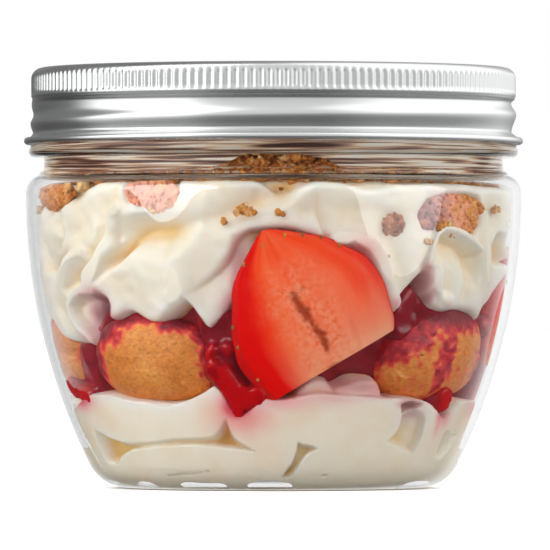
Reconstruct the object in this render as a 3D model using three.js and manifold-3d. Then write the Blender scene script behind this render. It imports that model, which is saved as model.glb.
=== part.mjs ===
// A layered strawberry tiramisu in a clear, bulging screw-top jar with an aluminium lid.
// Units are millimetres, +Z is up, the jar stands on z = 0 and its axis is the Z axis.
// Angles run round the jar from the front (-Y), positive towards +X, and are in degrees.
// Inside the jar a place is given by its angle, its height and its depth in from the wall.
import * as THREE from "three";
import { mergeVertices } from "three/addons/utils/BufferGeometryUtils.js";
import Module from "manifold-3d";

const wasm = await Module();
wasm.setup();

// ---- Jar: one thick clear wall, turned about Z
const WALL = 1.6;
const BODY_R = 46; // the widest place, just under the shoulder
const BODY_ARC = 113; // the side is one long arc, upright at BODY_TOP
const BODY_TOP = 54.5;
const CORNER_ARC = 7.7; // where the side turns under to the base
const SHOULDER_ARC = 3.6;
const NECK_R = 42.65;
const NECK_FOOT = 59;
const RIM_TOP = 76.4;
const BEAD_R = 45.5; // the ring that stands out of the neck below the lid
const BEAD_LOW = 61.1;
const BEAD_HIGH = 62.5;
const PUSH_UP = 1; // the base is dished up inside its resting ring
const PUSH_UP_R = 20;
const RING_INNER_R = 22.5;
const ROUND_STEPS = 44;
const LAYER_STEPS = 40;

// ---- Lid: thin aluminium shell
const LID_TOP = 77.8;
const LID_PANEL = 77.3; // the panel lies a little below the rim round it
const LID_R = 45;
const LID_EDGE_ARC = 2;
const LID_GROOVE_R = 44.1;
const CURL_R = 46.35;
const LID_FOOT = 63.6;
const LID_SHEET = 0.5;

// ---- Contents
const GAP = 0.35; // clearance kept between neighbouring pieces
const FLOOR = 1.6 + PUSH_UP + GAP;
const LOW_CREAM_TOP = 16.8;
const LOW_CREAM_DIPS = [
  { angle: -10, width: 7, drop: 2.6 },
  { angle: 45, width: 5, drop: 1.6 },
  { angle: 58, width: 4, drop: 3 },
];
const LOW_CREAM_CREASE = { height: 8.6, width: 0.9, depth: 1.6 };
const TOP_CREAM_TOP = 56.4;
const TOP_CREAM_CORE = 31.5; // underside of the top cream, away from the wall
const BACK = 190; // the back has the front's folds, mirrored: its angle is BACK less the front's
// The piped edge of the top cream: how low its lip hangs at each angle round the front
const LIP = [
  [-78, 29.8], [-64, 27.2], [-55, 28.6], [-50, 34.5], [-45, 31.4], [-33, 30.8], [-25, 33.4],
  [-17, 29.9], [-10, 35], [-6, 43.5], [-1, 47.6], [8, 49], [17, 45.4], [24, 43], [31, 34.2],
  [37, 38.4], [43, 33.8], [51, 32.8], [64, 31], [74, 36.5], [88, 41],
];
// Hollows between the piped folds, seen through the wall
const VALLEYS = [
  { angle: -33, height: 46, wide: 10, tall: 4, depth: 4.2 },
  { angle: -66, height: 41, wide: 5, tall: 6, depth: 3.4 },
  { angle: 0, height: 54, wide: 6, tall: 3.4, depth: 3.8 },
  { angle: 50, height: 44.6, wide: 8, tall: 2.4, depth: 3.4 },
  { angle: 71, height: 44.4, wide: 5, tall: 4, depth: 3 },
];
const SAUCE_R = 35;
// Where the sauce has run out between the pieces and reaches the wall
const SAUCE_RUNS = [-61, -11, 28, 108];
const SAUCE_RUN_WIDTH = 5;
const BISCUITS = [
  { angle: -37, height: 24.4, length: 31, tall: 16.5, deep: 14 },
  { angle: 54, height: 25, length: 33, tall: 17.5, deep: 14 },
  { angle: 136, height: 25.2, length: 32, tall: 17.5, deep: 14 },
  { angle: 226, height: 24.8, length: 30, tall: 17, deep: 14 },
  { angle: 278, height: 25.4, length: 26, tall: 18, deep: 14 },
];
// Halved berries: the place of the hulled end, and the way the tip points, as seen from outside
const STRAWBERRIES = [
  { angle: 14.9, height: 22.6, lean: 121, length: 28, wide: 29.5, deep: 11.5 },
  { angle: 87, height: 22, lean: 84, length: 22.5, wide: 25, deep: 10.5 },
  { angle: 176, height: 22.2, lean: 61, length: 27, wide: 28, deep: 11 },
];
// Large biscuit crumbs caught between the top cream and the wall
const CRUMBS = [
  { angle: -66, height: 53.4, size: 3.3 },
  { angle: -32, height: 53.9, size: 3.4 },
  { angle: 29.3, height: 48.4, size: 2.2 },
  { angle: 48, height: 50.6, size: 4.7 },
  { angle: 141, height: 50.8, size: 4 },
  { angle: 163, height: 49, size: 2.6 },
  { angle: 223, height: 53.4, size: 3.6 },
];
const TOPPING_R = 40.2;
const TOPPING_TOP = 60.6;
const TOPPING_CRUMBS = 30;
const SEED = 7;

const COLOURS = {
  clear: 0xf2f6f6, aluminium: 0xc9cacb, cream: 0xf6eedd, sauce: 0x8f1228,
  biscuit: 0xc98238, strawberry: 0xe2281c, crumb: 0xb4702e,
};

const rad = THREE.MathUtils.degToRad;

// The inner face of the wall at a height.
function innerRadius(z) {
  const side = BODY_R - BODY_ARC + Math.sqrt((BODY_ARC - WALL) ** 2 - (BODY_TOP - z) ** 2);
  const rise = Math.max(0, (SHOULDER_ARC - WALL) ** 2 - (z - BODY_TOP) ** 2);
  if (z > BODY_TOP) return BODY_R - SHOULDER_ARC + Math.sqrt(rise);
  if (z > CORNER.top) return side;
  return CORNER.r + Math.sqrt(Math.max(0, (CORNER_ARC - WALL) ** 2 - (CORNER_ARC - z) ** 2));
}

// The centre of the corner arc, which runs smoothly into the side, and the height where they meet.
const CORNER = (() => {
  const reach = BODY_ARC - CORNER_ARC;
  const drop = BODY_TOP - CORNER_ARC;
  const turn = Math.asin(drop / reach);
  return {
    r: BODY_R - BODY_ARC + Math.sqrt(reach ** 2 - drop ** 2),
    turn,
    top: CORNER_ARC - (CORNER_ARC - WALL) * Math.sin(turn),
  };
})();

// Points [r, z] on an arc round (r, z), from one angle to another, in degrees from level.
function arc(r, z, radius, from, to, steps) {
  return Array.from({ length: steps + 1 }, (_, i) => {
    const a = rad(from + ((to - from) * i) / steps);
    return [r + radius * Math.cos(a), z + radius * Math.sin(a)];
  });
}

// A profile of [r, z] points turned about Z.
function turned(profile, steps = ROUND_STEPS) {
  const points = profile.map(([r, z]) => new THREE.Vector2(r, z));
  return new THREE.LatheGeometry(points, steps).rotateX(Math.PI / 2);
}

function jarGeometry() {
  const under = THREE.MathUtils.radToDeg(CORNER.turn);
  const bodyCentre = BODY_R - BODY_ARC;
  const shoulder = BODY_R - SHOULDER_ARC;
  const neckInner = NECK_R - WALL;
  return turned([
    [0, PUSH_UP],
    [PUSH_UP_R, PUSH_UP],
    [RING_INNER_R, 0],
    ...arc(CORNER.r, CORNER_ARC, CORNER_ARC, -90, -under, 3),
    ...arc(bodyCentre, BODY_TOP, BODY_ARC, -under, 0, 4).slice(1),
    ...arc(shoulder, BODY_TOP, SHOULDER_ARC, 0, 78, 3).slice(1),
    [NECK_R, NECK_FOOT],
    [NECK_R, BEAD_LOW],
    [BEAD_R, BEAD_LOW],
    [BEAD_R, BEAD_HIGH],
    [NECK_R, BEAD_HIGH + 1.4],
    [NECK_R, RIM_TOP],
    [neckInner, RIM_TOP],
    [neckInner, NECK_FOOT - WALL],
    ...arc(shoulder, BODY_TOP, SHOULDER_ARC - WALL, 90, 0, 2),
    ...arc(bodyCentre, BODY_TOP, BODY_ARC - WALL, 0, -under, 4).slice(1),
    ...arc(CORNER.r, CORNER_ARC, CORNER_ARC - WALL, -under, -90, 3).slice(1),
    [RING_INNER_R, WALL],
    [PUSH_UP_R, WALL + PUSH_UP],
    [0, WALL + PUSH_UP],
  ]);
}

function lidGeometry() {
  const edge = LID_TOP - LID_EDGE_ARC;
  const outer = [
    [0, LID_PANEL],
    [LID_R - 4.8, LID_PANEL],
    [LID_R - 4, LID_TOP],
    ...arc(LID_R - LID_EDGE_ARC, edge, LID_EDGE_ARC, 90, 0, 3),
    [LID_R, LID_FOOT + 9.2], // foot of the knurled band
    [LID_GROOVE_R, LID_FOOT + 7.2],
    [LID_GROOVE_R, LID_FOOT + 6.2],
    [LID_R, LID_FOOT + 4.6], // rolled thread
    [LID_GROOVE_R + 0.3, LID_FOOT + 1.9],
    [CURL_R, LID_FOOT + 1],
    [CURL_R, LID_FOOT + 0.4],
    [CURL_R - 0.9, LID_FOOT],
  ];
  const inner = [
    [LID_GROOVE_R, LID_FOOT + 0.6],
    [LID_GROOVE_R - LID_SHEET, LID_FOOT + 6.8],
    [LID_R - LID_SHEET, LID_FOOT + 9],
    [LID_R - LID_SHEET, edge],
    [LID_R - LID_EDGE_ARC, LID_TOP - LID_SHEET],
    [LID_R - 4.4, LID_PANEL - LID_SHEET],
    [0, LID_PANEL - LID_SHEET],
  ];
  return turned([...outer, ...inner].reverse());
}

// Moves every vertex of a geometry to the point that place(vertex) gives.
function reshape(geometry, place) {
  const at = geometry.getAttribute("position");
  const v = new THREE.Vector3();
  for (let i = 0; i < at.count; i++) {
    const p = place(v.fromBufferAttribute(at, i));
    at.setXYZ(i, p.x, p.y, p.z);
  }
  return geometry;
}

// A point inside the jar, from its angle, its height and its distance from the axis.
function around(angle, r, z) {
  return new THREE.Vector3(r * Math.sin(rad(angle)), -r * Math.cos(rad(angle)), z);
}

// A point given along the wall, up the wall and in from the wall, from a place on the wall.
function onWall(angle, height, along, up, deep) {
  const z = height + up;
  const turn = THREE.MathUtils.radToDeg(along / innerRadius(height));
  return around(angle + turn, innerRadius(z) - GAP - deep, z);
}

// A layer that fills the jar: a lathe whose profile, station by station, depends on the angle.
function layerGeometry(stations, steps, profileAt) {
  const profile = Array.from({ length: stations }, (_, i) => [
    i === 0 || i === stations - 1 ? 0 : 1,
    i,
  ]);
  return reshape(turned(profile, steps), (v) => {
    const station = Math.round(v.z);
    const angle = THREE.MathUtils.radToDeg(Math.atan2(v.x, -v.y));
    const [r, z] = profileAt(Math.hypot(v.x, v.y) < 0.5 ? 0 : angle)[station];
    return around(angle, r, z);
  });
}

// How far an angle is from another, in degrees, the short way round.
function apart(a, b) {
  return Math.abs(((((a - b) % 360) + 540) % 360) - 180);
}

const bump = (distance, width) => Math.exp(-((distance / width) ** 2));

// A smooth closed curve through [angle, value] points.
function roundCurve(points) {
  return (angle) => {
    const first = points[0][0];
    const a = ((((angle - first) % 360) + 360) % 360) + first;
    let i = points.findIndex(([at]) => at > a);
    if (i < 0) i = points.length;
    const [a0, v0] = points[i - 1];
    const [a1, v1] = i < points.length ? points[i] : [first + 360, points[0][1]];
    const t = THREE.MathUtils.smoothstep(a, a0, a1);
    return v0 + (v1 - v0) * t;
  };
}

const lipHeight = roundCurve([...LIP, ...LIP.map(([a, z]) => [BACK - a, z]).reverse()]);

// A feature of the front and its mirrored twin at the back.
const twice = (features) => [...features, ...features.map((f) => ({ ...f, angle: BACK - f.angle }))];
const dips = twice(LOW_CREAM_DIPS);
const valleys = twice(VALLEYS);
const sauceRuns = twice(SAUCE_RUNS.map((angle) => ({ angle })));

function lowCreamTop(angle, r) {
  const drops = dips.map((d) => d.drop * bump(apart(angle, d.angle), d.width));
  const edge = Math.max(0, Math.min(1, (r - 26) / 10));
  return LOW_CREAM_TOP - edge * drops.reduce((a, b) => a + b) + 0.5 * Math.sin(rad(5 * angle));
}

function topCreamUnder(angle, r) {
  const edge = THREE.MathUtils.smoothstep(r, 27, 38);
  return TOP_CREAM_CORE + edge * (lipHeight(angle) - TOP_CREAM_CORE);
}

function topCreamTop(angle, r) {
  const edge = Math.max(0, Math.min(1, (r - 20) / 20));
  return TOP_CREAM_TOP - edge * (0.9 + 1.1 * Math.sin(rad(4 * angle + 70)));
}

function bottomCreamGeometry() {
  const crease = LOW_CREAM_CREASE;
  const side = [0.06, 0.22, 0.38, 0.5, 0.62, 0.8, 0.96];
  return layerGeometry(side.length + 7, LAYER_STEPS, (angle) => {
    const wall = (z) => {
      const line = crease.height + 1.3 * Math.sin(rad(3 * angle));
      return innerRadius(z) - GAP - crease.depth * bump(z - line, crease.width);
    };
    const top = lowCreamTop(angle, innerRadius(LOW_CREAM_TOP));
    return [
      [0, FLOOR],
      [PUSH_UP_R, FLOOR],
      [CORNER.r, FLOOR],
      ...side.map((t) => FLOOR + t * (top - FLOOR)).map((z) => [wall(z), z]),
      [innerRadius(top) - 2, top],
      [30, lowCreamTop(angle, 30)],
      [18, lowCreamTop(angle, 18)],
      [0, LOW_CREAM_TOP],
    ];
  });
}

function topCreamGeometry() {
  const side = [0.03, 0.15, 0.3, 0.46, 0.62, 0.78, 0.93];
  return layerGeometry(side.length + 8, 48, (angle) => {
    const wall = (z) => {
      const hollows = valleys.map(
        (v) => v.depth * bump(apart(angle, v.angle), v.wide) * bump(z - v.height, v.tall),
      );
      const roundedTop = 1.8 * bump(z - TOP_CREAM_TOP, 1.6);
      return innerRadius(z) - GAP - roundedTop - hollows.reduce((a, b) => a + b);
    };
    const lip = lipHeight(angle);
    const top = topCreamTop(angle, 43);
    return [
      [0, TOP_CREAM_CORE],
      [20, topCreamUnder(angle, 20)],
      [31, topCreamUnder(angle, 31)],
      [37.5, topCreamUnder(angle, 37.5)],
      ...side.map((t) => lip + t * (top - lip)).map((z) => [wall(z), z]),
      [38.5, top],
      [28, topCreamTop(angle, 28)],
      [14, topCreamTop(angle, 14)],
      [0, TOP_CREAM_TOP],
    ];
  });
}

function sauceGeometry() {
  return layerGeometry(8, LAYER_STEPS, (angle) => {
    const runs = sauceRuns.map((run) => bump(apart(angle, run.angle), SAUCE_RUN_WIDTH));
    const low = (radius) => lowCreamTop(angle, radius) + 2 * GAP;
    const high = (radius) => topCreamUnder(angle, radius) - GAP;
    const foot = low(40) + 1.4;
    const atWall = innerRadius(foot) - 2 * GAP;
    const r = Math.min(atWall, SAUCE_R + (atWall - SAUCE_R) * 1.4 * Math.max(...runs));
    const lip = Math.min(high(r), TOP_CREAM_CORE + 1);
    return [
      [0, LOW_CREAM_TOP + 2 * GAP],
      [18, low(18)],
      [30, low(30)],
      [r - 0.4, foot],
      [r, (foot + lip) / 2],
      [r - 2.4, Math.min(lip, high(r - 2.4)) - 1.2],
      [18, high(18)],
      [0, TOP_CREAM_CORE - GAP],
    ];
  });
}

const power = (x, p) => Math.sign(x) * Math.abs(x) ** p;

// A chunk of sponge finger lying along the wall, with a fuller bottom than top.
function biscuitGeometry(b, grow = 0) {
  const squareness = 0.72;
  return reshape(new THREE.SphereGeometry(1, 14, 8), (v) => {
    const crown = 0.14 * (1 - v.x ** 2);
    const along = power(v.x, squareness) * (b.length / 2 + grow);
    const up = (power(v.y, squareness) + crown * (v.y > 0 ? v.y : 0)) * (b.tall / 2 + grow);
    const deep = (1 + power(v.z, squareness)) * (b.deep / 2 + grow) - grow;
    return onWall(b.angle, b.height, along, up, deep);
  });
}

// Half a hulled strawberry: flat hulled end, blunt tip, cut face to the wall, round back.
function strawberryGeometry(s, grow = 0) {
  const rings = 7;
  const halfWidth = (t) => (s.wide / 2) * (1 - Math.min(1, t) ** 2.8) ** 0.68;
  const berry = new THREE.CylinderGeometry(1, 1, 1, 14, rings);
  return reshape(berry, (v) => {
    const t = v.y + 0.5;
    const onCap = Math.hypot(v.x, v.z) < 0.5;
    const half = onCap ? 0 : Math.max(0.4, halfWidth(t)) + grow;
    const across = half * v.x;
    const back = v.z > 0 ? (s.deep / (s.wide / 2)) * half * v.z + grow : -grow;
    const length = t * (s.length + 2 * grow) - grow;
    const turn = rad(s.lean);
    const along = length * Math.cos(turn) + across * Math.sin(turn);
    const up = length * Math.sin(turn) - across * Math.cos(turn);
    return onWall(s.angle, s.height, along, up, back);
  });
}

// A rough lump, the same every time for the same seed.
function random(seed) {
  let state = seed * 7919 + 13;
  return () => {
    state = (state * 1103515245 + 12345) % 2147483648;
    return state / 2147483648;
  };
}

function lumpGeometry(centre, size, seed, detail = 1, grow = 0) {
  const draw = random(seed);
  const lump = mergeVertices(bare(new THREE.IcosahedronGeometry(1, detail)), 1e-4);
  const stretch = [0.85 + 0.4 * draw(), 0.85 + 0.3 * draw(), 0.7 + 0.25 * draw()];
  return reshape(lump, (v) => {
    const r = size * (0.86 + 0.28 * draw()) + grow;
    return new THREE.Vector3(v.x * stretch[0], v.y * stretch[1], v.z * stretch[2])
      .multiplyScalar(r)
      .add(centre);
  });
}

// A crumb pressed flat against the wall.
function wallCrumb(c, index, grow = 0) {
  const centre = around(c.angle, innerRadius(c.height) - GAP - 0.7 * c.size, c.height);
  return reshape(lumpGeometry(centre, c.size, index + 1, 1, grow), (v) => {
    const r = Math.hypot(v.x, v.y);
    const most = innerRadius(v.z) - GAP + grow;
    return r > most ? new THREE.Vector3((v.x * most) / r, (v.y * most) / r, v.z) : v;
  });
}

function toppingCore() {
  return layerGeometry(8, 24, (angle) => {
    const foot = (r) => topCreamTop(angle, r) + GAP;
    const heap = TOPPING_TOP + 0.5 * Math.sin(rad(7 * angle));
    return [
      [0, TOP_CREAM_TOP + GAP],
      [15, foot(15)],
      [30, foot(30)],
      [TOPPING_R - 1.6, Math.max(foot(39), TOP_CREAM_TOP + GAP)],
      [TOPPING_R - 1, heap - 1.6],
      [TOPPING_R - 4, heap],
      [18, heap + 0.6],
      [0, TOPPING_TOP + 0.4],
    ];
  });
}

// Only the positions of a geometry, so that its vertices can be merged.
function bare(geometry) {
  geometry.deleteAttribute("normal");
  geometry.deleteAttribute("uv");
  return geometry;
}

function solidOf(geometry) {
  const merged = mergeVertices(bare(geometry), 1e-4);
  const triVerts = new Uint32Array(merged.index.array);
  const vertProperties = merged.getAttribute("position").array;
  const made = new wasm.Manifold(new wasm.Mesh({ numProp: 3, vertProperties, triVerts }));
  if (made.volume() > 0) return made;
  for (let i = 0; i < triVerts.length; i += 3) {
    [triVerts[i + 1], triVerts[i + 2]] = [triVerts[i + 2], triVerts[i + 1]];
  }
  return new wasm.Manifold(new wasm.Mesh({ numProp: 3, vertProperties, triVerts }));
}

// The largest body of a solid: cutting can leave loose scraps, which are dropped.
function largest(solid) {
  return solid.decompose().reduce((a, b) => (b.volume() > a.volume() ? b : a));
}

function meshOf(solid, name, material) {
  const { numProp, vertProperties, triVerts } = solid.getMesh();
  const count = vertProperties.length / numProp;
  const positions = new Float32Array(count * 3);
  for (let i = 0; i < count; i++) {
    positions.set(vertProperties.subarray(i * numProp, i * numProp + 3), i * 3);
  }
  const geometry = new THREE.BufferGeometry()
    .setAttribute("position", new THREE.BufferAttribute(positions, 3))
    .setIndex(new THREE.BufferAttribute(new Uint32Array(triVerts), 1));
  geometry.computeVertexNormals();
  const mesh = new THREE.Mesh(geometry, material);
  mesh.name = name;
  return mesh;
}

function surface(color, roughness, metalness = 0) {
  return new THREE.MeshStandardMaterial({ color, roughness, metalness });
}

const clearPlastic = surface(COLOURS.clear, 0.05);
Object.assign(clearPlastic, { transparent: true, opacity: 0.25 });
const aluminium = surface(COLOURS.aluminium, 0.3, 1);
const cream = surface(COLOURS.cream, 0.45);
const sponge = surface(COLOURS.biscuit, 0.8);
const berry = surface(COLOURS.strawberry, 0.3);
const compote = surface(COLOURS.sauce, 0.15);
const crumbs = surface(COLOURS.crumb, 0.9);

const berryCutters = STRAWBERRIES.map((s) => solidOf(strawberryGeometry(s, GAP)));
const biscuitCutters = BISCUITS.map((b) => solidOf(biscuitGeometry(b, GAP)));
const cutters = [...berryCutters, ...biscuitCutters];
const crumbCutters = CRUMBS.map((c, i) => solidOf(wallCrumb(c, i, GAP)));
const cutBy = (solid, tools) => largest(tools.reduce((a, b) => a.subtract(b), solid));

// The heap of crumbs: a core with the crumbs that show joined to it.
function toppingSolid() {
  const draw = random(SEED);
  let heap = solidOf(toppingCore());
  for (let i = 0; i < TOPPING_CRUMBS; i++) {
    const atEdge = i % 4 !== 3;
    const r = atEdge ? 37.2 : 8 + 26 * draw();
    const size = 0.9 + 1.3 * draw();
    const z = TOPPING_TOP - (atEdge ? 1.4 * draw() : -0.4);
    const centre = around((360 * i) / TOPPING_CRUMBS + 5 * draw(), r, z);
    heap = heap.add(solidOf(lumpGeometry(centre, size, i + 40, 0)));
  }
  return largest(heap);
}

const part = new THREE.Group();
part.add(meshOf(solidOf(jarGeometry()), "jar", clearPlastic));
part.add(meshOf(solidOf(lidGeometry()), "lid", aluminium));
part.add(meshOf(cutBy(solidOf(bottomCreamGeometry()), cutters), "bottom_cream", cream));
part.add(
  meshOf(cutBy(solidOf(topCreamGeometry()), [...cutters, ...crumbCutters]), "top_cream", cream),
);
part.add(meshOf(cutBy(solidOf(sauceGeometry()), cutters), "berry_sauce", compote));
BISCUITS.forEach((b, i) => {
  part.add(meshOf(cutBy(solidOf(biscuitGeometry(b)), berryCutters), `biscuit_${i + 1}`, sponge));
});
STRAWBERRIES.forEach((s, i) => {
  part.add(meshOf(solidOf(strawberryGeometry(s)), `strawberry_${i + 1}`, berry));
});
CRUMBS.forEach((c, i) => {
  part.add(meshOf(solidOf(wallCrumb(c, i)), `wall_crumb_${i + 1}`, crumbs));
});
part.add(meshOf(toppingSolid(), "crumb_topping", crumbs));

export default part;
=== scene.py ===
"""A layered strawberry tiramisu in a clear, bulging screw-top jar with an aluminium lid.

Lengths in the shape code are millimetres and are turned to metres when a mesh is made. Places on
the wall are given by the angle round the jar from the front (-Y), positive towards +X, in degrees,
and by the height. What the filling does behind the wall is its depth in from the wall.
"""

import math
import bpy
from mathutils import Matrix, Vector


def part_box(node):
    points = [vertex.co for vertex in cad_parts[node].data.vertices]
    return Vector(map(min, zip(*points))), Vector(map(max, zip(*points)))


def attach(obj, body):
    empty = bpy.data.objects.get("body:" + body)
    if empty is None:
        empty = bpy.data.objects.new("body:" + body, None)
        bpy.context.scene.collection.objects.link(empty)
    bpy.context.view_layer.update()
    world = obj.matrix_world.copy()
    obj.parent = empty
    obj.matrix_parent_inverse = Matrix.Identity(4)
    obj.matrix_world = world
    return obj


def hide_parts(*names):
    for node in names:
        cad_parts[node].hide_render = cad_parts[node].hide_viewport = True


bl_info = {
    "name": "Strawberry Tiramisu Jar",
    "version": (1, 0, 0),
    "blender": (4, 5, 0),
    "location": "View3D > Sidebar > Dessert Jar",
    "description": "Builds a layered dessert in a clear jar with an aluminium screw lid",
    "category": "Add Mesh",
}

import bmesh
import bpy
import numpy as np
from bpy.props import FloatProperty, FloatVectorProperty, IntProperty, PointerProperty

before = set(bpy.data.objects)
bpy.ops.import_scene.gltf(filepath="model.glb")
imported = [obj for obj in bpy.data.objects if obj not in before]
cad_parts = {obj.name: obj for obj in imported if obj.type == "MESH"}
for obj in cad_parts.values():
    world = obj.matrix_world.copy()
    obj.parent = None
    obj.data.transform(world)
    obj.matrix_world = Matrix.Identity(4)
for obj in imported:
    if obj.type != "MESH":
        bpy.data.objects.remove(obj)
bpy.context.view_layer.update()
BODY = "root"
JAR_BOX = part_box("jar")
LID_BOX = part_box("lid")
TURN = 360.0
WALL_R = 42.5  # radius at which angles on the wall are read as lengths
BACK = 190.0  # the back has the front's folds, mirrored: its angle is BACK less the front's
JAR_STEPS = 288  # steps round the jar
CUT_STEPS = 110  # points across a strawberry's cut face
STUDIO_LIGHT = 3.2
TABLE_HALF, TABLE_TOP = 30.0, -0.0002  # metres
# A long lens, level with the lower half of the jar; the frame is 102 mm wide at the jar.
CAMERA_AT, CAMERA_AIM = (0.00028, -1.5, 0.0301), 0.0394
CAMERA_SENSOR, CAMERA_LENS, CAMERA_REACH = 36.0, 528.4, 100.0
# Soft round lamps: name, place, diameter and power.
LAMPS = [("key", (-1.0, -0.78, 0.5), 1.2, 22.0), ("fill", (0.95, -0.5, 0.3), 1.1, 10.0)]
LAMPS_AIM = (0, 0, 0.04)


# ---- Colours and user settings


def linear(hex_colour):
    """An sRGB hex colour as linear red, green and blue."""
    parts = [int(hex_colour[i : i + 2], 16) / 255 for i in (0, 2, 4)]
    return tuple(c / 12.92 if c <= 0.04045 else ((c + 0.055) / 1.055) ** 2.4 for c in parts)


def length(name, description, default):
    """A size in metres that the user can change."""
    return FloatProperty(name=name, description=description, default=default, unit="LENGTH")


def colour(name, description, default):
    """A colour that the user can change."""
    return FloatVectorProperty(
        name=name,
        description=description,
        default=linear(default),
        subtype="COLOR",
        min=0.0,
        max=1.0,
    )


class JarSizes(bpy.types.PropertyGroup):
    """Sizes of the clear jar"""

    body_radius: length("Body radius", "Widest place, under the shoulder", JAR_BOX[1].x)
    body_arc: length("Side arc", "Radius of the long arc of the side", 0.113)
    body_top: length("Body top", "Height where the side is upright", 0.0545)
    corner_arc: length("Base corner", "Arc from the side to the base", 0.0077)
    shoulder_arc: length("Shoulder", "Arc from the side to the neck", 0.0036)
    neck_radius: length("Neck radius", "Outside of the neck", 0.04265)
    bead_radius: length("Ring radius", "Ring that stands out under the lid", 0.0455)
    bead_foot: length("Ring height", "Underside of the ring", 0.0611)
    rim_top: length("Rim height", "Top of the neck, in the lid", JAR_BOX[1].z)
    wall: length("Wall", "Thickness of the plastic", 0.0016)
    push_up: length("Push-up", "How far the base is dished up", 0.001)


class LidSizes(bpy.types.PropertyGroup):
    """Sizes of the aluminium lid"""

    top: length("Top", "Height of the lid's top", LID_BOX[1].z)
    foot: length("Foot", "Height of the lid's lower edge", LID_BOX[0].z)
    radius: length("Radius", "Outside of the knurled band", 0.045)
    groove_radius: length("Groove radius", "Wall between the rolled threads", 0.0441)
    curl_radius: length("Curl radius", "Middle of the rolled lower edge", 0.0457)
    rib_count: IntProperty(name="Ribs", description="Fine ribs of the knurl", default=184)
    rib_depth: length("Rib depth", "From the crest of a rib to its root", 0.00034)
    pitch: length("Thread pitch", "Rise of the rolled thread in one turn", 0.0036)


class FillingSizes(bpy.types.PropertyGroup):
    """Depths of the filling behind the wall"""

    reach: length("Reach", "How far what is pressed on the wall reaches into it", 0.00005)
    film: length("Film", "Air between the wall and what lies loose on it", 0.00006)
    cream_back: length("Fold depth", "How deep the cream lies between its folds", 0.007)
    sauce_back: length("Sauce depth", "How deep the sauce lies between the pieces", 0.0048)
    seed: IntProperty(name="Seed", description="For the uneven shapes", default=11)


class FoodColours(bpy.types.PropertyGroup):
    """Main colours of the food"""

    cream: colour("Cream", "Whipped cream", "FFF4E2")
    # painted shade: the warm colour the cream is painted deep in its hollows and valleys
    cream_pocket_shade: colour("Cream pocket", "Cream deep between two folds", "F2CC84")
    sauce: colour("Sauce", "Berry sauce", "B00A1C")
    berry: colour("Berry flesh", "Cut strawberry, halfway across", "FA6C3C")
    crust: colour("Crust", "Baked sponge finger", "F29C40")
    crumb: colour("Crumb", "Biscuit crumb", "F2A648")


# ---- Small tools


def mm(value):
    """Metres as millimetres."""
    return value * 1000.0


def arc(r, z, radius, start, end, steps):
    """Points [r, z] on an arc round (r, z), between two angles in degrees from level."""
    a = np.radians(np.linspace(start, end, steps + 1))
    return np.column_stack((r + radius * np.cos(a), z + radius * np.sin(a)))


def ease(x, low, high):
    """0 below low, 1 above high and smooth between them."""
    t = np.clip((np.asarray(x, float) - low) / (high - low), 0.0, 1.0)
    return t * t * (3.0 - 2.0 * t)


def apart(a, b):
    """Angle a seen from angle b, from -180 to 180."""
    return (np.asarray(a, float) - b + 180.0) % TURN - 180.0


def wobble(points, size, seed, waves=22):
    """Smooth uneven noise from about -1 to 1, with humps of about the given size."""
    draw = np.random.default_rng(seed)
    points = np.asarray(points, float)
    total = np.zeros(points.shape[:-1])
    for _ in range(waves):
        way = draw.normal(size=points.shape[-1])
        way *= math.pi / (size * draw.uniform(0.7, 1.6) * np.linalg.norm(way))
        total += np.sin(points @ way + draw.uniform(0, 2 * math.pi))
    return total * 0.9 / math.sqrt(waves / 2)


def round_points(angle, r, z):
    """Points [x, y, z] at angles round the jar, radii and heights."""
    a = np.radians(angle)
    return np.stack(np.broadcast_arrays(r * np.sin(a), -r * np.cos(a), z), axis=-1)


def grid_faces(rows, columns, looped=False):
    """Quads between rows of points that go round; looped joins the last row to the first."""
    i, j = np.meshgrid(np.arange(rows - (not looped)), np.arange(columns), indexing="ij")
    k, up = (j + 1) % columns, (i + 1) % rows
    corners = (i * columns + j, i * columns + k, up * columns + k, up * columns + j)
    return np.stack(corners, axis=-1).reshape(-1, 4)


def skin_of(rows, first=None, last=None):
    """Points and faces of a closed skin of rings, shut by a pole point at each end."""
    count, columns = rows.shape[:2]
    points = rows.reshape(-1, 3)
    faces = grid_faces(count, columns).tolist()
    for pole, start, flip in ((first, 0, True), (last, (count - 1) * columns, False)):
        if pole is None:
            continue
        tip = len(points)
        points = np.vstack((points, [pole]))
        ring = [start + j for j in range(columns)]
        for a, b in zip(ring, ring[1:] + ring[:1]):
            faces.append((b, a, tip) if flip else (a, b, tip))
    return points, faces


def new_piece(name, points, faces, material, nodes=(), values=None, sharp=None):
    """A mesh in metres that rides on the jar, stands for CAD nodes and carries values."""
    mesh = bpy.data.meshes.new(name)
    points = np.asarray(points, float) / 1000.0
    mesh.from_pydata(points, [], faces if isinstance(faces, list) else faces.tolist())
    mesh.validate()
    mesh.shade_smooth()
    if sharp:
        mesh.set_sharp_from_angle(angle=math.radians(sharp))
    for label, numbers in (values or {}).items():
        layer = mesh.attributes.new(label, "FLOAT", "POINT")
        layer.data.foreach_set("value", np.asarray(numbers, np.float32))
    made = bpy.data.objects.new(name, mesh)
    bpy.context.scene.collection.objects.link(made)
    mesh.materials.append(material)
    outward(mesh)
    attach(made, BODY)
    if nodes:
        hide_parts(*nodes)


def outward(mesh):
    """Turns the faces of a closed mesh outward."""
    work = bmesh.new()
    work.from_mesh(mesh)
    if work.calc_volume(signed=True) < 0:
        bmesh.ops.reverse_faces(work, faces=work.faces)
        work.to_mesh(mesh)
    work.free()


# ---- Materials


FACTOR, A, B = 0, 6, 7  # the sockets of a Mix node that mixes colours


def rgba(shade):
    """A colour with its alpha, from sRGB hex, from linear red, green and blue, or from a grey."""
    if isinstance(shade, str):
        shade = linear(shade)
    if isinstance(shade, float):
        shade = (shade,) * 3
    return (*shade, 1.0)


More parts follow.
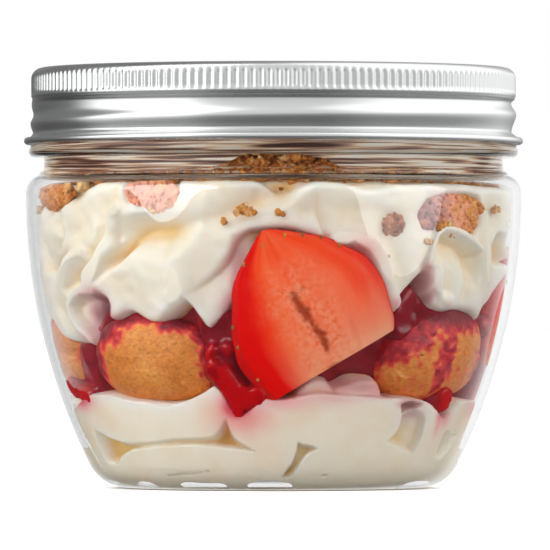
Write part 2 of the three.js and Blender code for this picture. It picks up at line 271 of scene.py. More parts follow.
def feed(tree, node, inputs):
    """Sets a node's sockets, or joins them to a socket or to a node's factor or main output."""
    for socket, value in inputs.items():
        if isinstance(value, bpy.types.Node):
            used = [output for output in value.outputs if output.enabled]
            value = value.outputs.get("Fac", used[0])
        if isinstance(value, bpy.types.NodeSocket):
            tree.links.new(value, node.inputs[socket])
        else:
            node.inputs[socket].default_value = value


def add(tree, kind, inputs=None, stops=None, **settings):
    """Adds a node with its settings, its ramp's stops and what its sockets hold or join to."""
    made = tree.nodes.new(kind)
    for key, value in settings.items():
        setattr(made, key, value)
    if stops:
        ramp = made.color_ramp
        while len(ramp.elements) < len(stops):
            ramp.elements.new(1.0)
        for element, (place, shade) in zip(ramp.elements, stops):
            element.position = place
            element.color = rgba(shade)
    feed(tree, made, inputs or {})
    return made


def new_material(name, inputs):
    """A material with one Principled shader; returns it, its node tree and the shader."""
    made = bpy.data.materials.new(name)
    made.use_nodes = True
    shader = made.node_tree.nodes["Principled BSDF"]
    feed(made.node_tree, shader, inputs)
    return made, made.node_tree, shader


def grain(tree, size, detail=3.0, stretch=(1, 1, 1)):
    """A noise whose humps are the given size in millimetres."""
    place = add(tree, "ShaderNodeTexCoord").outputs["Object"]
    place = add(tree, "ShaderNodeMapping", {"Vector": place, "Scale": stretch})
    inputs = {"Vector": place, "Scale": 1000.0 / (2.0 * size), "Detail": detail}
    return add(tree, "ShaderNodeTexNoise", inputs)


def clear_pet():
    # Clear PET, stretch-blow moulded: water-clear, with a smooth and glossy face on both sides.
    made, _, _ = new_material(
        "Clear PET, blow moulded",
        {
            "Base Color": rgba("FCFDFD"),
            "Roughness": 0.0,
            "IOR": 1.57,
            "Transmission Weight": 1.0,
        },
    )
    return made


def rolled_aluminium():
    # Aluminium sheet, drawn and roll-formed, clear lacquered: bright but soft reflections, drawn
    # out round the lid by fine rolling lines about 0.1 mm apart.
    made, tree, shader = new_material(
        "Lacquered aluminium, roll-formed", {"Base Color": rgba("DDDEDE"), "Metallic": 1.0}
    )
    lines = grain(tree, 0.1, 4.0, (0.04, 0.04, 1.0))
    patches = grain(tree, 6.0, 2.0)
    rough = add(tree, "ShaderNodeMapRange", {"Value": patches, "To Min": 0.2, "To Max": 0.3})
    bump = add(tree, "ShaderNodeBump", {"Height": lines, "Strength": 0.12, "Distance": 0.00005})
    feed(tree, shader, {"Roughness": rough, "Normal": bump})
    return made


def whipped_cream(colours):
    # Whipped cream, piped: dense and white with a soft satin sheen, and light seeps through it. Its
    # crevices are painted a warm shade and its crests a painted highlight. The mauve where berry
    # sauce lies behind the cream is partly painted shade, and it is pink where the sauce has bled.
    made, tree, shader = new_material(
        "Whipped cream, piped",
        {
            "Roughness": 0.42,
            "Subsurface Weight": 0.25,
            "Subsurface Radius": (1.0, 0.75, 0.5),
            "Subsurface Scale": 0.0022,
        },
    )
    pocket, stain_and_shade, crest, bleed = (
        add(tree, "ShaderNodeAttribute", attribute_name=label)
        for label in ("pocket", "stain_and_shade", "crest", "bleed")
    )
    # painted shade: deep in hollows and valleys the cream is painted a warm shade
    cream, warm = rgba(colours.cream), rgba(colours.cream_pocket_shade)
    body = add(tree, "ShaderNodeMix", {FACTOR: pocket, A: cream, B: warm}, data_type="RGBA")
    # painted highlight: the crests are painted lighter
    lit = {FACTOR: crest, A: body, B: rgba("FFFAF0")}
    body = add(tree, "ShaderNodeMix", lit, data_type="RGBA")
    patches = add(
        tree,
        "ShaderNodeValToRGB",
        {"Fac": grain(tree, 3.0)},
        [(0.3, "F8EEDC"), (0.6, "FFFFFF")],
    )
    patched = {FACTOR: 0.5, A: body, B: patches}
    body = add(tree, "ShaderNodeMix", patched, data_type="RGBA", blend_type="MULTIPLY")
    # painted shade in mauve, partly the sauce that lies behind the cream
    tint = add(
        tree,
        "ShaderNodeValToRGB",
        {"Fac": stain_and_shade},
        [(0.0, "FBF3EA"), (0.3, "EBC3BF"), (0.62, "A86A70"), (1.0, "471426")],
    )
    amount = add(tree, "ShaderNodeMapRange", {"Value": stain_and_shade, "From Max": 0.25})
    body = add(tree, "ShaderNodeMix", {FACTOR: amount, A: body, B: tint}, data_type="RGBA")
    pink = add(
        tree,
        "ShaderNodeValToRGB",
        {"Fac": bleed},
        [(0.0, "FFFFFF"), (0.3, "FFC4CC"), (0.6, "F06A80"), (1.0, "C81430")],
    )
    bled = {FACTOR: 1.0, A: body, B: pink}
    body = add(tree, "ShaderNodeMix", bled, data_type="RGBA", blend_type="MULTIPLY")
    bubbles = {"Height": grain(tree, 0.6), "Strength": 0.06, "Distance": 0.0001}
    feed(tree, shader, {"Base Color": body, "Normal": add(tree, "ShaderNodeBump", bubbles)})
    return made


def berry_sauce(colours):
    # Berry sauce, cooked and sieved: dark, wet and glossy. It is painted bright red where it
    # touches the wall and darker with painted shade the deeper it lies.
    made, tree, shader = new_material(
        "Berry sauce, cooked",
        {
            "Roughness": 0.12,
            "IOR": 1.4,
            "Subsurface Weight": 0.3,
            "Subsurface Radius": (1.0, 0.15, 0.12),
            "Subsurface Scale": 0.0015,
        },
    )
    # painted shade: the sauce is painted darker the deeper it lies behind the wall
    lit_near_wall = add(
        tree,
        "ShaderNodeValToRGB",
        {"Fac": add(tree, "ShaderNodeAttribute", attribute_name="lit_near_wall")},
        [(0.0, "96222E"), (0.35, "A2142A"), (0.7, colours.sauce[:]), (1.0, "CC0A14")],
    )
    dark = add(
        tree,
        "ShaderNodeMapRange",
        {"Value": grain(tree, 1.6, 4.0), "From Min": 0.5, "From Max": 0.72, "To Max": 0.6},
    )
    pulpy = {FACTOR: dark, A: lit_near_wall, B: rgba("6A0616")}
    body = add(tree, "ShaderNodeMix", pulpy, data_type="RGBA")
    ripples = {"Height": grain(tree, 0.7), "Strength": 0.35, "Distance": 0.0003}
    feed(tree, shader, {"Base Color": body, "Normal": add(tree, "ShaderNodeBump", ripples)})
    return made


def baked_sponge(colours):
    # Sponge finger, baked: a thin, finely wrinkled golden crust, darker where it stood out in the
    # oven, soaked dark red where the sauce ran. Along the tops, under the cream, the dark red is
    # partly painted shade.
    made, tree, shader = new_material("Sponge finger, baked", {"Roughness": 0.42})
    fine = grain(tree, 0.38, 5.0, (1, 1, 1.4))
    stain_and_shade = add(tree, "ShaderNodeAttribute", attribute_name="stain_and_shade")
    crust = add(
        tree,
        "ShaderNodeValToRGB",
        {"Fac": grain(tree, 5.0)},
        [(0.32, "D87C24"), (0.5, colours.crust[:]), (0.68, "FFB660")],
    )
    flecks = add(
        tree,
        "ShaderNodeValToRGB",
        {"Fac": fine},
        [(0.3, "B87838"), (0.5, "F0CC98"), (0.7, "FFF6E0")],
    )
    dry = {FACTOR: 0.55, A: crust, B: flecks}
    dry = add(tree, "ShaderNodeMix", dry, data_type="RGBA", blend_type="MULTIPLY")
    # soaked dark red, which along the tops under the cream is partly painted shade
    soaked = add(
        tree,
        "ShaderNodeValToRGB",
        {"Fac": stain_and_shade},
        [(0.0, "FFB44C"), (0.2, "FF9440"), (0.42, "F84C44"), (0.7, "CC1C32"), (1.0, "860E28")],
    )
    wet = {FACTOR: 0.35, A: soaked, B: flecks}
    wet = add(tree, "ShaderNodeMix", wet, data_type="RGBA", blend_type="MULTIPLY")
    amount = add(tree, "ShaderNodeMapRange", {"Value": stain_and_shade, "From Max": 0.4})
    body = add(tree, "ShaderNodeMix", {FACTOR: amount, A: dry, B: wet}, data_type="RGBA")
    grains = {"Height": grain(tree, 0.9, 4.0), "Strength": 0.7, "Distance": 0.0006}
    grains = add(tree, "ShaderNodeBump", grains)
    wrinkles = {"Height": fine, "Strength": 0.6, "Distance": 0.0003, "Normal": grains}
    feed(tree, shader, {"Base Color": body, "Normal": add(tree, "ShaderNodeBump", wrinkles)})
    return made


def cut_strawberry(colours):
    # Strawberry, cut in half: wet flesh with pale strands that run out from the core to the skin,
    # paler towards the hulled end, and a saturated red glossy skin.
    made, tree, shader = new_material(
        "Strawberry, cut",
        {
            "Roughness": 0.25,
            "Specular IOR Level": 0.2,
            "Subsurface Weight": 0.15,
            "Subsurface Radius": (1.0, 0.25, 0.15),
            "Subsurface Scale": 0.0015,
        },
    )
    tip, across, halo, core, skin = (
        add(tree, "ShaderNodeAttribute", attribute_name=label)
        for label in ("tip", "across", "halo", "core", "skin")
    )
    place = add(tree, "ShaderNodeCombineXYZ", {"X": across, "Y": tip})
    place = add(tree, "ShaderNodeMapping", {"Vector": place, "Scale": (9.0, 1.6, 1.0)})
    inputs = {"Vector": place, "Scale": 1.0, "Detail": 5.0, "Roughness": 0.62}
    strands = add(tree, "ShaderNodeTexNoise", inputs)
    # from the skin side, at 0, over the salmon middle to the far edge, at 1
    bands = add(
        tree,
        "ShaderNodeValToRGB",
        {"Fac": across},
        [(0.0, "E60000"), (0.17, "EE0400"), (0.25, "F63208"), (0.35, "FF7038"), (0.43, "FF8656"),
         (0.5, colours.berry[:]), (0.68, "FF865C"), (0.84, "FF5426"), (0.95, "FA341E"),
         (1.0, "F01E16")],
    )
    pale = add(
        tree,
        "ShaderNodeValToRGB",
        {"Fac": tip},
        [(0.0, "FFC8A0"), (0.14, "FFB08A"), (0.34, "FF9468"), (0.6, "FF5A24"), (1.0, "FA4C14")],
    )
    hulled = add(
        tree,
        "ShaderNodeValToRGB",
        {"Fac": tip},
        [(0.0, 0.8), (0.4, 0.15), (0.55, 0.15), (0.85, 0.75)],
    )
    away = add(tree, "ShaderNodeMapRange", {"Value": across, "From Min": 0.16, "From Max": 0.4})
    amount = add(tree, "ShaderNodeMath", {0: hulled, 1: away}, operation="MULTIPLY")
    body = add(tree, "ShaderNodeMix", {FACTOR: amount, A: bands, B: pale}, data_type="RGBA")
    light = add(
        tree,
        "ShaderNodeMapRange",
        {"Value": strands, "From Min": 0.48, "From Max": 0.75, "To Max": 0.35},
    )
    streaked = add(tree, "ShaderNodeMath", {0: light, 1: away}, operation="MULTIPLY")
    dark = add(
        tree,
        "ShaderNodeMapRange",
        {"Value": strands, "From Min": 0.46, "From Max": 0.28, "To Max": 0.3},
    )
    # the pulp round the core: a fine grain of salmon and orange
    pulp = add(
        tree,
        "ShaderNodeValToRGB",
        {"Fac": grain(tree, 0.45, 5.0)},
        [(0.3, "F06A3A"), (0.45, "FC8858"), (0.6, "FFA882")],
    )
    round_core = add(tree, "ShaderNodeMapRange", {"Value": halo, "To Max": 0.9})
    # painted shade: the torn hollow of the core is painted a darker red-brown
    torn = add(
        tree,
        "ShaderNodeMapRange",
        {"Value": core, "From Min": 0.15, "From Max": 0.8, "To Max": 0.92},
    )
    for amount, shade in (
        (streaked, rgba("FFA57C")),
        (dark, rgba("E8300A")),
        (round_core, pulp),
        (torn, rgba("C44C24")),
        (skin, rgba("E00A06")),
    ):
        body = add(tree, "ShaderNodeMix", {FACTOR: amount, A: body, B: shade}, data_type="RGBA")
    fibres = {"Height": strands, "Strength": 0.25, "Distance": 0.0002}
    feed(tree, shader, {"Base Color": body, "Normal": add(tree, "ShaderNodeBump", fibres)})
    return made


def berry_seed():
    # Strawberry seeds: small, dry and yellow-brown.
    made, tree, shader = new_material("Strawberry seed", {"Roughness": 0.4})
    shade = add(
        tree, "ShaderNodeValToRGB", {"Fac": grain(tree, 0.8)}, [(0.35, "8A5C14"), (0.65, "C8A440")]
    )
    feed(tree, shader, {"Base Color": shade})
    return made


def baked_crumb(colours, name="Biscuit crumb, baked", soaked=False):
    # Biscuit crumbs, broken by hand: matt and golden to dark brown, each with its own shade. Those
    # that touched the sauce are soaked with it.
    made, tree, shader = new_material(name, {"Roughness": 0.6})
    tone = add(
        tree,
        "ShaderNodeValToRGB",
        {"Fac": add(tree, "ShaderNodeAttribute", attribute_name="tone")},
        [(0.0, "8C420C"), (0.3, "D47A1C"), (0.62, colours.crumb[:]), (1.0, "FFDCA0")],
    )
    flecks = add(
        tree,
        "ShaderNodeValToRGB",
        {"Fac": grain(tree, 0.3, 5.0)},
        [(0.32, "B88A5A"), (0.62, "FFFFFF")],
    )
    dry = {FACTOR: 0.8, A: tone, B: flecks}
    body = add(tree, "ShaderNodeMix", dry, data_type="RGBA", blend_type="MULTIPLY")
    if soaked:
        # salmon where a little sauce has soaked in, mauve where more has
        stain_and_shade = add(tree, "ShaderNodeAttribute", attribute_name="stain_and_shade")
        soak = add(
            tree,
            "ShaderNodeValToRGB",
            {"Fac": stain_and_shade},
            [(0.0, "F09A5C"), (0.5, "FFB496"), (1.0, "BC8C8C")],
        )
        wet = {FACTOR: 0.35, A: soak, B: flecks}
        wet = add(tree, "ShaderNodeMix", wet, data_type="RGBA", blend_type="MULTIPLY")
        amount = add(tree, "ShaderNodeMapRange", {"Value": stain_and_shade, "From Max": 0.4})
        body = add(tree, "ShaderNodeMix", {FACTOR: amount, A: body, B: wet}, data_type="RGBA")
    grains = {"Height": grain(tree, 0.3, 5.0), "Strength": 0.5, "Distance": 0.0002}
    feed(tree, shader, {"Base Color": body, "Normal": add(tree, "ShaderNodeBump", grains)})
    return made


def smeared_filling():
    # Cream, crumbs and berry sauce smeared on the neck as it was filled and wiped round: thin
    # level streaks from dark mauve-brown over tan to cream, a little wet.
    made, tree, shader = new_material("Smeared cream and crumbs", {"Roughness": 0.35})
    shade = add(
        tree,
        "ShaderNodeValToRGB",
        {"Fac": add(tree, "ShaderNodeAttribute", attribute_name="smear")},
        [(0.0, "4A281C"), (0.2, "845644"), (0.4, "AE8470"), (0.55, "D0A88C"), (0.68, "F2D0A0"),
         (0.82, "FFF2DC"), (1.0, "FFFAF0")],
    )
    feed(tree, shader, {"Base Color": shade})
    return made


def studio_board():
    # Studio table, painted matt white.
    made, _, _ = new_material(
        "Painted board, matt", {"Base Color": rgba("FFFFFF"), "Roughness": 0.9}
    )
    return made


# ---- The jar's wall


class Wall:
    """The inner and outer faces of the jar, in millimetres."""

    def __init__(self, sizes):
        self.radius, self.arc, self.top = map(
            mm, (sizes.body_radius, sizes.body_arc, sizes.body_top)
        )
        self.corner, self.shoulder, self.wall = map(
            mm, (sizes.corner_arc, sizes.shoulder_arc, sizes.wall)
        )
        self.neck, self.push_up = mm(sizes.neck_radius), mm(sizes.push_up)
        reach, drop = self.arc - self.corner, self.top - self.corner
        self.corner_r = self.radius - self.arc + math.sqrt(reach**2 - drop**2)
        self.turn = math.degrees(math.asin(drop / reach))

    def inner(self, z):
        """The inner radius at a height."""
        z = np.asarray(z, float)
        side_arc, corner = self.arc - self.wall, self.corner - self.wall
        side = self.radius - self.arc + np.sqrt(side_arc**2 - np.minimum(z - self.top, 0) ** 2)
        low = self.corner_r + np.sqrt(np.maximum(corner**2 - (self.corner - z) ** 2, 0))
        inside = self.inner_shoulder()[::-1]
        high = np.interp(z, inside[:, 1], inside[:, 0])
        meet = self.corner - corner * math.sin(math.radians(self.turn))
        return np.where(z > self.top, high, np.where(z < meet, low, side))

    def inner_shoulder(self):
        """The inner outline from the neck down to the side."""
        neck_in, centre = self.neck - self.wall, self.radius - self.shoulder
        bend = arc(neck_in + 1.0, self.top + 3.7, 1.0, 180, 240, 5)
        return np.vstack((bend, arc(centre, self.top, self.shoulder - self.wall, 76, 0, 12)))

    def seat(self, angle, z, inward, filling, ahead=1.0):
        """The radius of a filling's face that lies some way in from the wall. What is pressed on
        the wall reaches just into it, and the wettest is ahead of the rest, so that it shows
        where two meet. A film of air is left at the two sides, where the wall looks clear, and
        in front of what lies back from the wall."""
        aside = ease(-np.abs(np.cos(np.radians(angle))), -0.3, -0.25)
        loose = np.maximum(ease(inward, 0.0, 0.15), aside * ease(z, 4.0, 12.0))
        reach, film = mm(filling.reach) * ahead, mm(filling.film)
        return self.inner(z) - np.maximum(inward, 0) + reach - (reach + film) * loose

    def profile(self, sizes):
        """The wall's closed outline, from the axis outside to the axis inside."""
        centre, high = self.radius - self.arc, self.radius - self.shoulder
        rim, bead, foot = mm(sizes.rim_top), mm(sizes.bead_radius), mm(sizes.bead_foot)
        lip, ring, fillet, standing = 0.5, 1.25, 1.3, 24.0
        dish = np.array([[0, 1.0], [10, 1.0], [17, 1.0], [19.5, 0.9], [21.5, 0.35], [22.8, 0.06]])
        dish[:, 1] *= self.push_up
        outer = [
            dish,
            [[standing, 0.0]],
            arc(self.corner_r, self.corner, self.corner, -90, -self.turn, 20),
            arc(centre, self.top, self.arc, -self.turn, 0, 48)[1:],
            arc(high, self.top, self.shoulder, 0, 72, 14)[1:],
            arc(self.neck + fillet, foot - 1.5, fillet, 250, 180, 6),
            [[self.neck, foot - 0.3], [self.neck + 0.08, foot - 0.08], [self.neck + 0.3, foot]],
            arc(bead - ring, foot + ring, ring, -85, 58, 14),
            [[self.neck + 0.5, foot + 2.75], [self.neck + 0.1, foot + 3.05],
             [self.neck, foot + 3.4]],
            arc(self.neck - lip, rim - lip, lip, 0, 90, 4),
        ]
        inner = [
            arc(self.neck - self.wall + lip, rim - lip, lip, 90, 180, 4),
            self.inner_shoulder(),
            arc(centre, self.top, self.arc - self.wall, 0, -self.turn, 44)[1:],
            arc(self.corner_r, self.corner, self.corner - self.wall, -self.turn, -90, 16)[1:],
            [[standing, self.wall]],
            dish[::-1] + [0, self.wall],
        ]
        return np.vstack([np.asarray(part, float) for part in outer + inner])


def turned(profile, columns):
    """Rings of points for a profile of [r, z], without its two ends, which lie on the axis."""
    angle = np.arange(columns) * TURN / columns
    rings = round_points(angle[None, :], profile[1:-1, 0, None], profile[1:-1, 1, None])
    return skin_of(rings, (0, 0, profile[0, 1]), (0, 0, profile[-1, 1]))


# ---- Folds of cream and runs of sauce, as a depth in from the wall


class Skin:
    """The face of a filling behind the wall: how deep it lies at each angle and height."""

    def __init__(self, columns, heights, depth):
        self.angle = np.arange(columns) * TURN / columns
        self.height = heights
        shape = (len(heights), columns)
        self.depth = np.broadcast_to(np.asarray(depth, float), shape).copy()
        self.stain_and_shade = np.zeros(shape)
        self.bleed = np.zeros(shape)

    def near(self, line, margin=7.0):
        """The columns near a line of (angle, height), with places in millimetres along the wall
        from the line's middle, and the line in the same millimetres."""
        line = np.asarray(line, float)
        middle = line[0, 0] + apart(line[:, 0], line[0, 0]).mean()
        scale = math.radians(1) * WALL_R
        reach = np.abs(apart(line[:, 0], middle)).max() * scale + margin
        along = apart(self.angle, middle) * scale
        columns = np.nonzero(np.abs(along) < reach)[0]
        x, y = np.meshgrid(along[columns], self.height)
        path = np.column_stack((apart(line[:, 0], middle) * scale, line[:, 1]))
        return columns, x, y, path

    def meet(self, columns, other, soft):
        """Keeps whichever face is nearer the wall, with a soft join."""
        here = self.depth[:, columns]
        h = np.clip(0.5 + 0.5 * (other - here) / soft, 0, 1)
        self.depth[:, columns] = other * (1 - h) + here * h - soft * h * (1 - h)

    def fold(self, outline, level=0.0, curl=1.2, fall=4.0, lean=(0, 0), soft=0.3, rounds=2):
        """A flat or pillowed fold with a rounded edge. lean is how much deeper it gets for each
        millimetre to the right and up."""
        columns, x, y, path = self.near(rounded(outline, rounds))
        inside = distance_inside(x, y, path)
        t = np.clip(1 - inside / curl, 0, 1)
        edge = curl * (1 - np.sqrt(1 - t * t)) + fall * np.maximum(-inside, 0)
        middle = path.mean(axis=0)
        tilt = lean[0] * (x - middle[0]) + lean[1] * (y - middle[1])
        self.meet(columns, level + edge + tilt, soft)

    def rope(self, line, radius, level=0.0, fall=3.0, soft=0.3):
        """A round-backed ridge along a line."""
        columns, x, y, path = self.near(line, radius + 5)
        d = distance_along(x, y, path)
        t = np.minimum(d / radius, 1)
        side = radius * (1 - np.sqrt(1 - t * t)) + fall * np.maximum(d - radius, 0)
        self.meet(columns, level + side, soft)

    def dent(self, place, wide, tall, deep, turn=0.0):
        """A soft hollow, or a swelling where deep is negative."""
        columns, x, y, _ = self.near([place], 3 * max(wide, tall))
        y = y - place[1]
        c, s = math.cos(math.radians(turn)), math.sin(math.radians(turn))
        u, v = x * c + y * s, y * c - x * s
        self.depth[:, columns] += deep * np.exp(-((u / wide) ** 2) - (v / tall) ** 2)

    def hollow(self, outline, deep, soft=0.8, rounds=2):
        """A pocket with a clear edge."""
        columns, x, y, path = self.near(rounded(outline, rounds), 2)
        self.depth[:, columns] += deep * ease(distance_inside(x, y, path), 0, soft)

    def hood(self, line, deep, reach, soft=0.4):
        """A hollow under an arched rim: deepest just below the rim, then it runs out downward."""
        columns, x, y, path = self.near(line, 1)
        path = path[np.argsort(path[:, 0])]
        below = np.interp(x, path[:, 0], path[:, 1]) - y
        aside = np.minimum(x - path[0, 0], path[-1, 0] - x)
        hollow = ease(below, 0, soft) * (1 - ease(below, soft, reach)) * ease(aside, 0, 2.0)
        self.depth[:, columns] += deep * hollow

    def crease(self, line, width, deep):
        """A narrow valley along a line."""
        columns, x, y, path = self.near(line, 4 * width)
        self.depth[:, columns] += deep * np.exp(-distance_along(x, y, path) / width)

    def tint(self, place, wide, tall, amount, red=0.0):
        """A soft spot of shade, or of red where the sauce has bled."""
        columns, x, y, _ = self.near([place], 3 * max(wide, tall))
        spot = np.exp(-((x / wide) ** 2) - ((y - place[1]) / tall) ** 2)
        self.stain_and_shade[:, columns] = np.maximum(self.stain_and_shade[:, columns], amount * spot)
        self.bleed[:, columns] = np.maximum(self.bleed[:, columns], red * spot)

    def points(self, wall, filling, ahead):
        """Rings of points for the skin."""
        r = wall.seat(self.angle[None, :], self.height[:, None], self.depth, filling, ahead)
        return round_points(self.angle[None, :], r, self.height[:, None])


def rounded(outline, rounds):
    """A closed outline with its corners cut, which leaves tips a little blunt."""
    points = np.asarray(outline, float)
    for _ in range(rounds):
        following = np.roll(points, -1, axis=0)
        points = np.stack((points * 0.8 + following * 0.2, points * 0.2 + following * 0.8), axis=1)
        points = points.reshape(-1, 2)
    return points


def segments(path, closed):
    """Pairs of points that follow each other."""
    return zip(path, np.roll(path, -1, axis=0)) if closed else zip(path[:-1], path[1:])


def distance_along(x, y, path, closed=False):
    """How far each place is from a line."""
    nearest = np.full(x.shape, 1e9)
    if len(path) == 1:
        return np.hypot(x - path[0][0], y - path[0][1])
    for a, b in segments(path, closed):
        d = b - a
        t = np.clip(((x - a[0]) * d[0] + (y - a[1]) * d[1]) / max(d @ d, 1e-9), 0, 1)
        nearest = np.minimum(nearest, (x - a[0] - t * d[0]) ** 2 + (y - a[1] - t * d[1]) ** 2)
    return np.sqrt(nearest)


def distance_inside(x, y, path):
    """How far each place is inside a closed outline, negative outside."""
    inside = np.zeros(x.shape, bool)
    for a, b in segments(path, True):
        crosses = (a[1] > y) != (b[1] > y)
        with np.errstate(divide="ignore", invalid="ignore"):
            inside ^= crosses & (x < a[0] + (y - a[1]) * (b[0] - a[0]) / (b[1] - a[1]))
    return np.where(inside, 1, -1) * distance_along(x, y, path, True)


def mirrored(step):
    """A step of the front's folds, as it is at the back: mirrored, and a little uneven."""

    def flip(place):
        return BACK - place[0], place[1] + 0.5 * math.sin(place[0] * 0.13)

    kind, settings = step
    copy = dict(settings)
    for key in ("outline", "line"):
        if key in copy:
            copy[key] = [flip(p) for p in copy[key]]
    if "place" in copy:
        copy["place"] = flip(copy["place"])
    if "turn" in copy:
        copy["turn"] = -copy["turn"]
    if "lean" in copy:
        copy["lean"] = (-copy["lean"][0], copy["lean"][1])
    return kind, copy


def carve(skin, steps):
    """Works the folds and hollows into a skin, in front and then at the back."""
    for kind, settings in steps:
        getattr(skin, kind)(**settings)
    for kind, settings in map(mirrored, steps):
        getattr(skin, kind)(**settings)


# The top cream from behind to front: petals in the shade first, then the big piped sheet with its
# hanging lip, then the hollows and ridges on it.
LEFT_SHEET = [
    (-92, 53), (-92, 40), (-84, 37), (-80, 40.5), (-74, 40), (-66, 42.6), (-56, 43), (-48, 44),
    (-43, 48), (-40, 52), (-38, 57.6), (-46, 57.2), (-50, 55.6), (-54, 53.9), (-58, 53.5),
    (-60.5, 53.2), (-63, 52.1), (-65.5, 52.6), (-68, 51.3), (-72, 52.6), (-77, 52.8), (-82, 54.4),
]
LIP_EDGE = [
    (-51.5, 36.4), (-48, 36.2), (-45, 34.6), (-45.4, 31.2), (-43, 31.3), (-40.5, 32.6),
    (-38, 32.7), (-36, 31.7), (-33, 30.8), (-30, 30.9), (-26, 32.3), (-21, 35), (-16, 38),
    (-12, 40.8), (-10, 43.1), (-9, 45.4), (-6.5, 47.2), (-3, 47.6), (4, 47.7), (12, 45.6),
    (15, 45.3), (19, 44.7), (21.6, 45.8), (24.6, 43.2), (27.6, 38.6), (30, 34.6), (31.5, 33.7),
    (33, 35), (37, 38.2), (39.6, 40.2), (40.2, 36), (43, 33.6), (48, 32.7), (55, 33), (61, 32.3),
    (64.6, 30.6), (67, 32.5), (71, 34.7), (79, 38.6), (88, 41.5), (99, 42.5), (102, 40.5),
]
MAIN_SHEET = [
    (-53, 38), *LIP_EDGE, (102, 55.6), (72, 55.7), (58, 55.6), (43, 56), (31, 55.6), (23, 54.6),
    (17, 56), (11, 56.4), (7, 55.4), (4, 54.2), (0, 54), (-3, 56), (-7, 57.6), (-40, 57.8),
    (-42, 49),
]
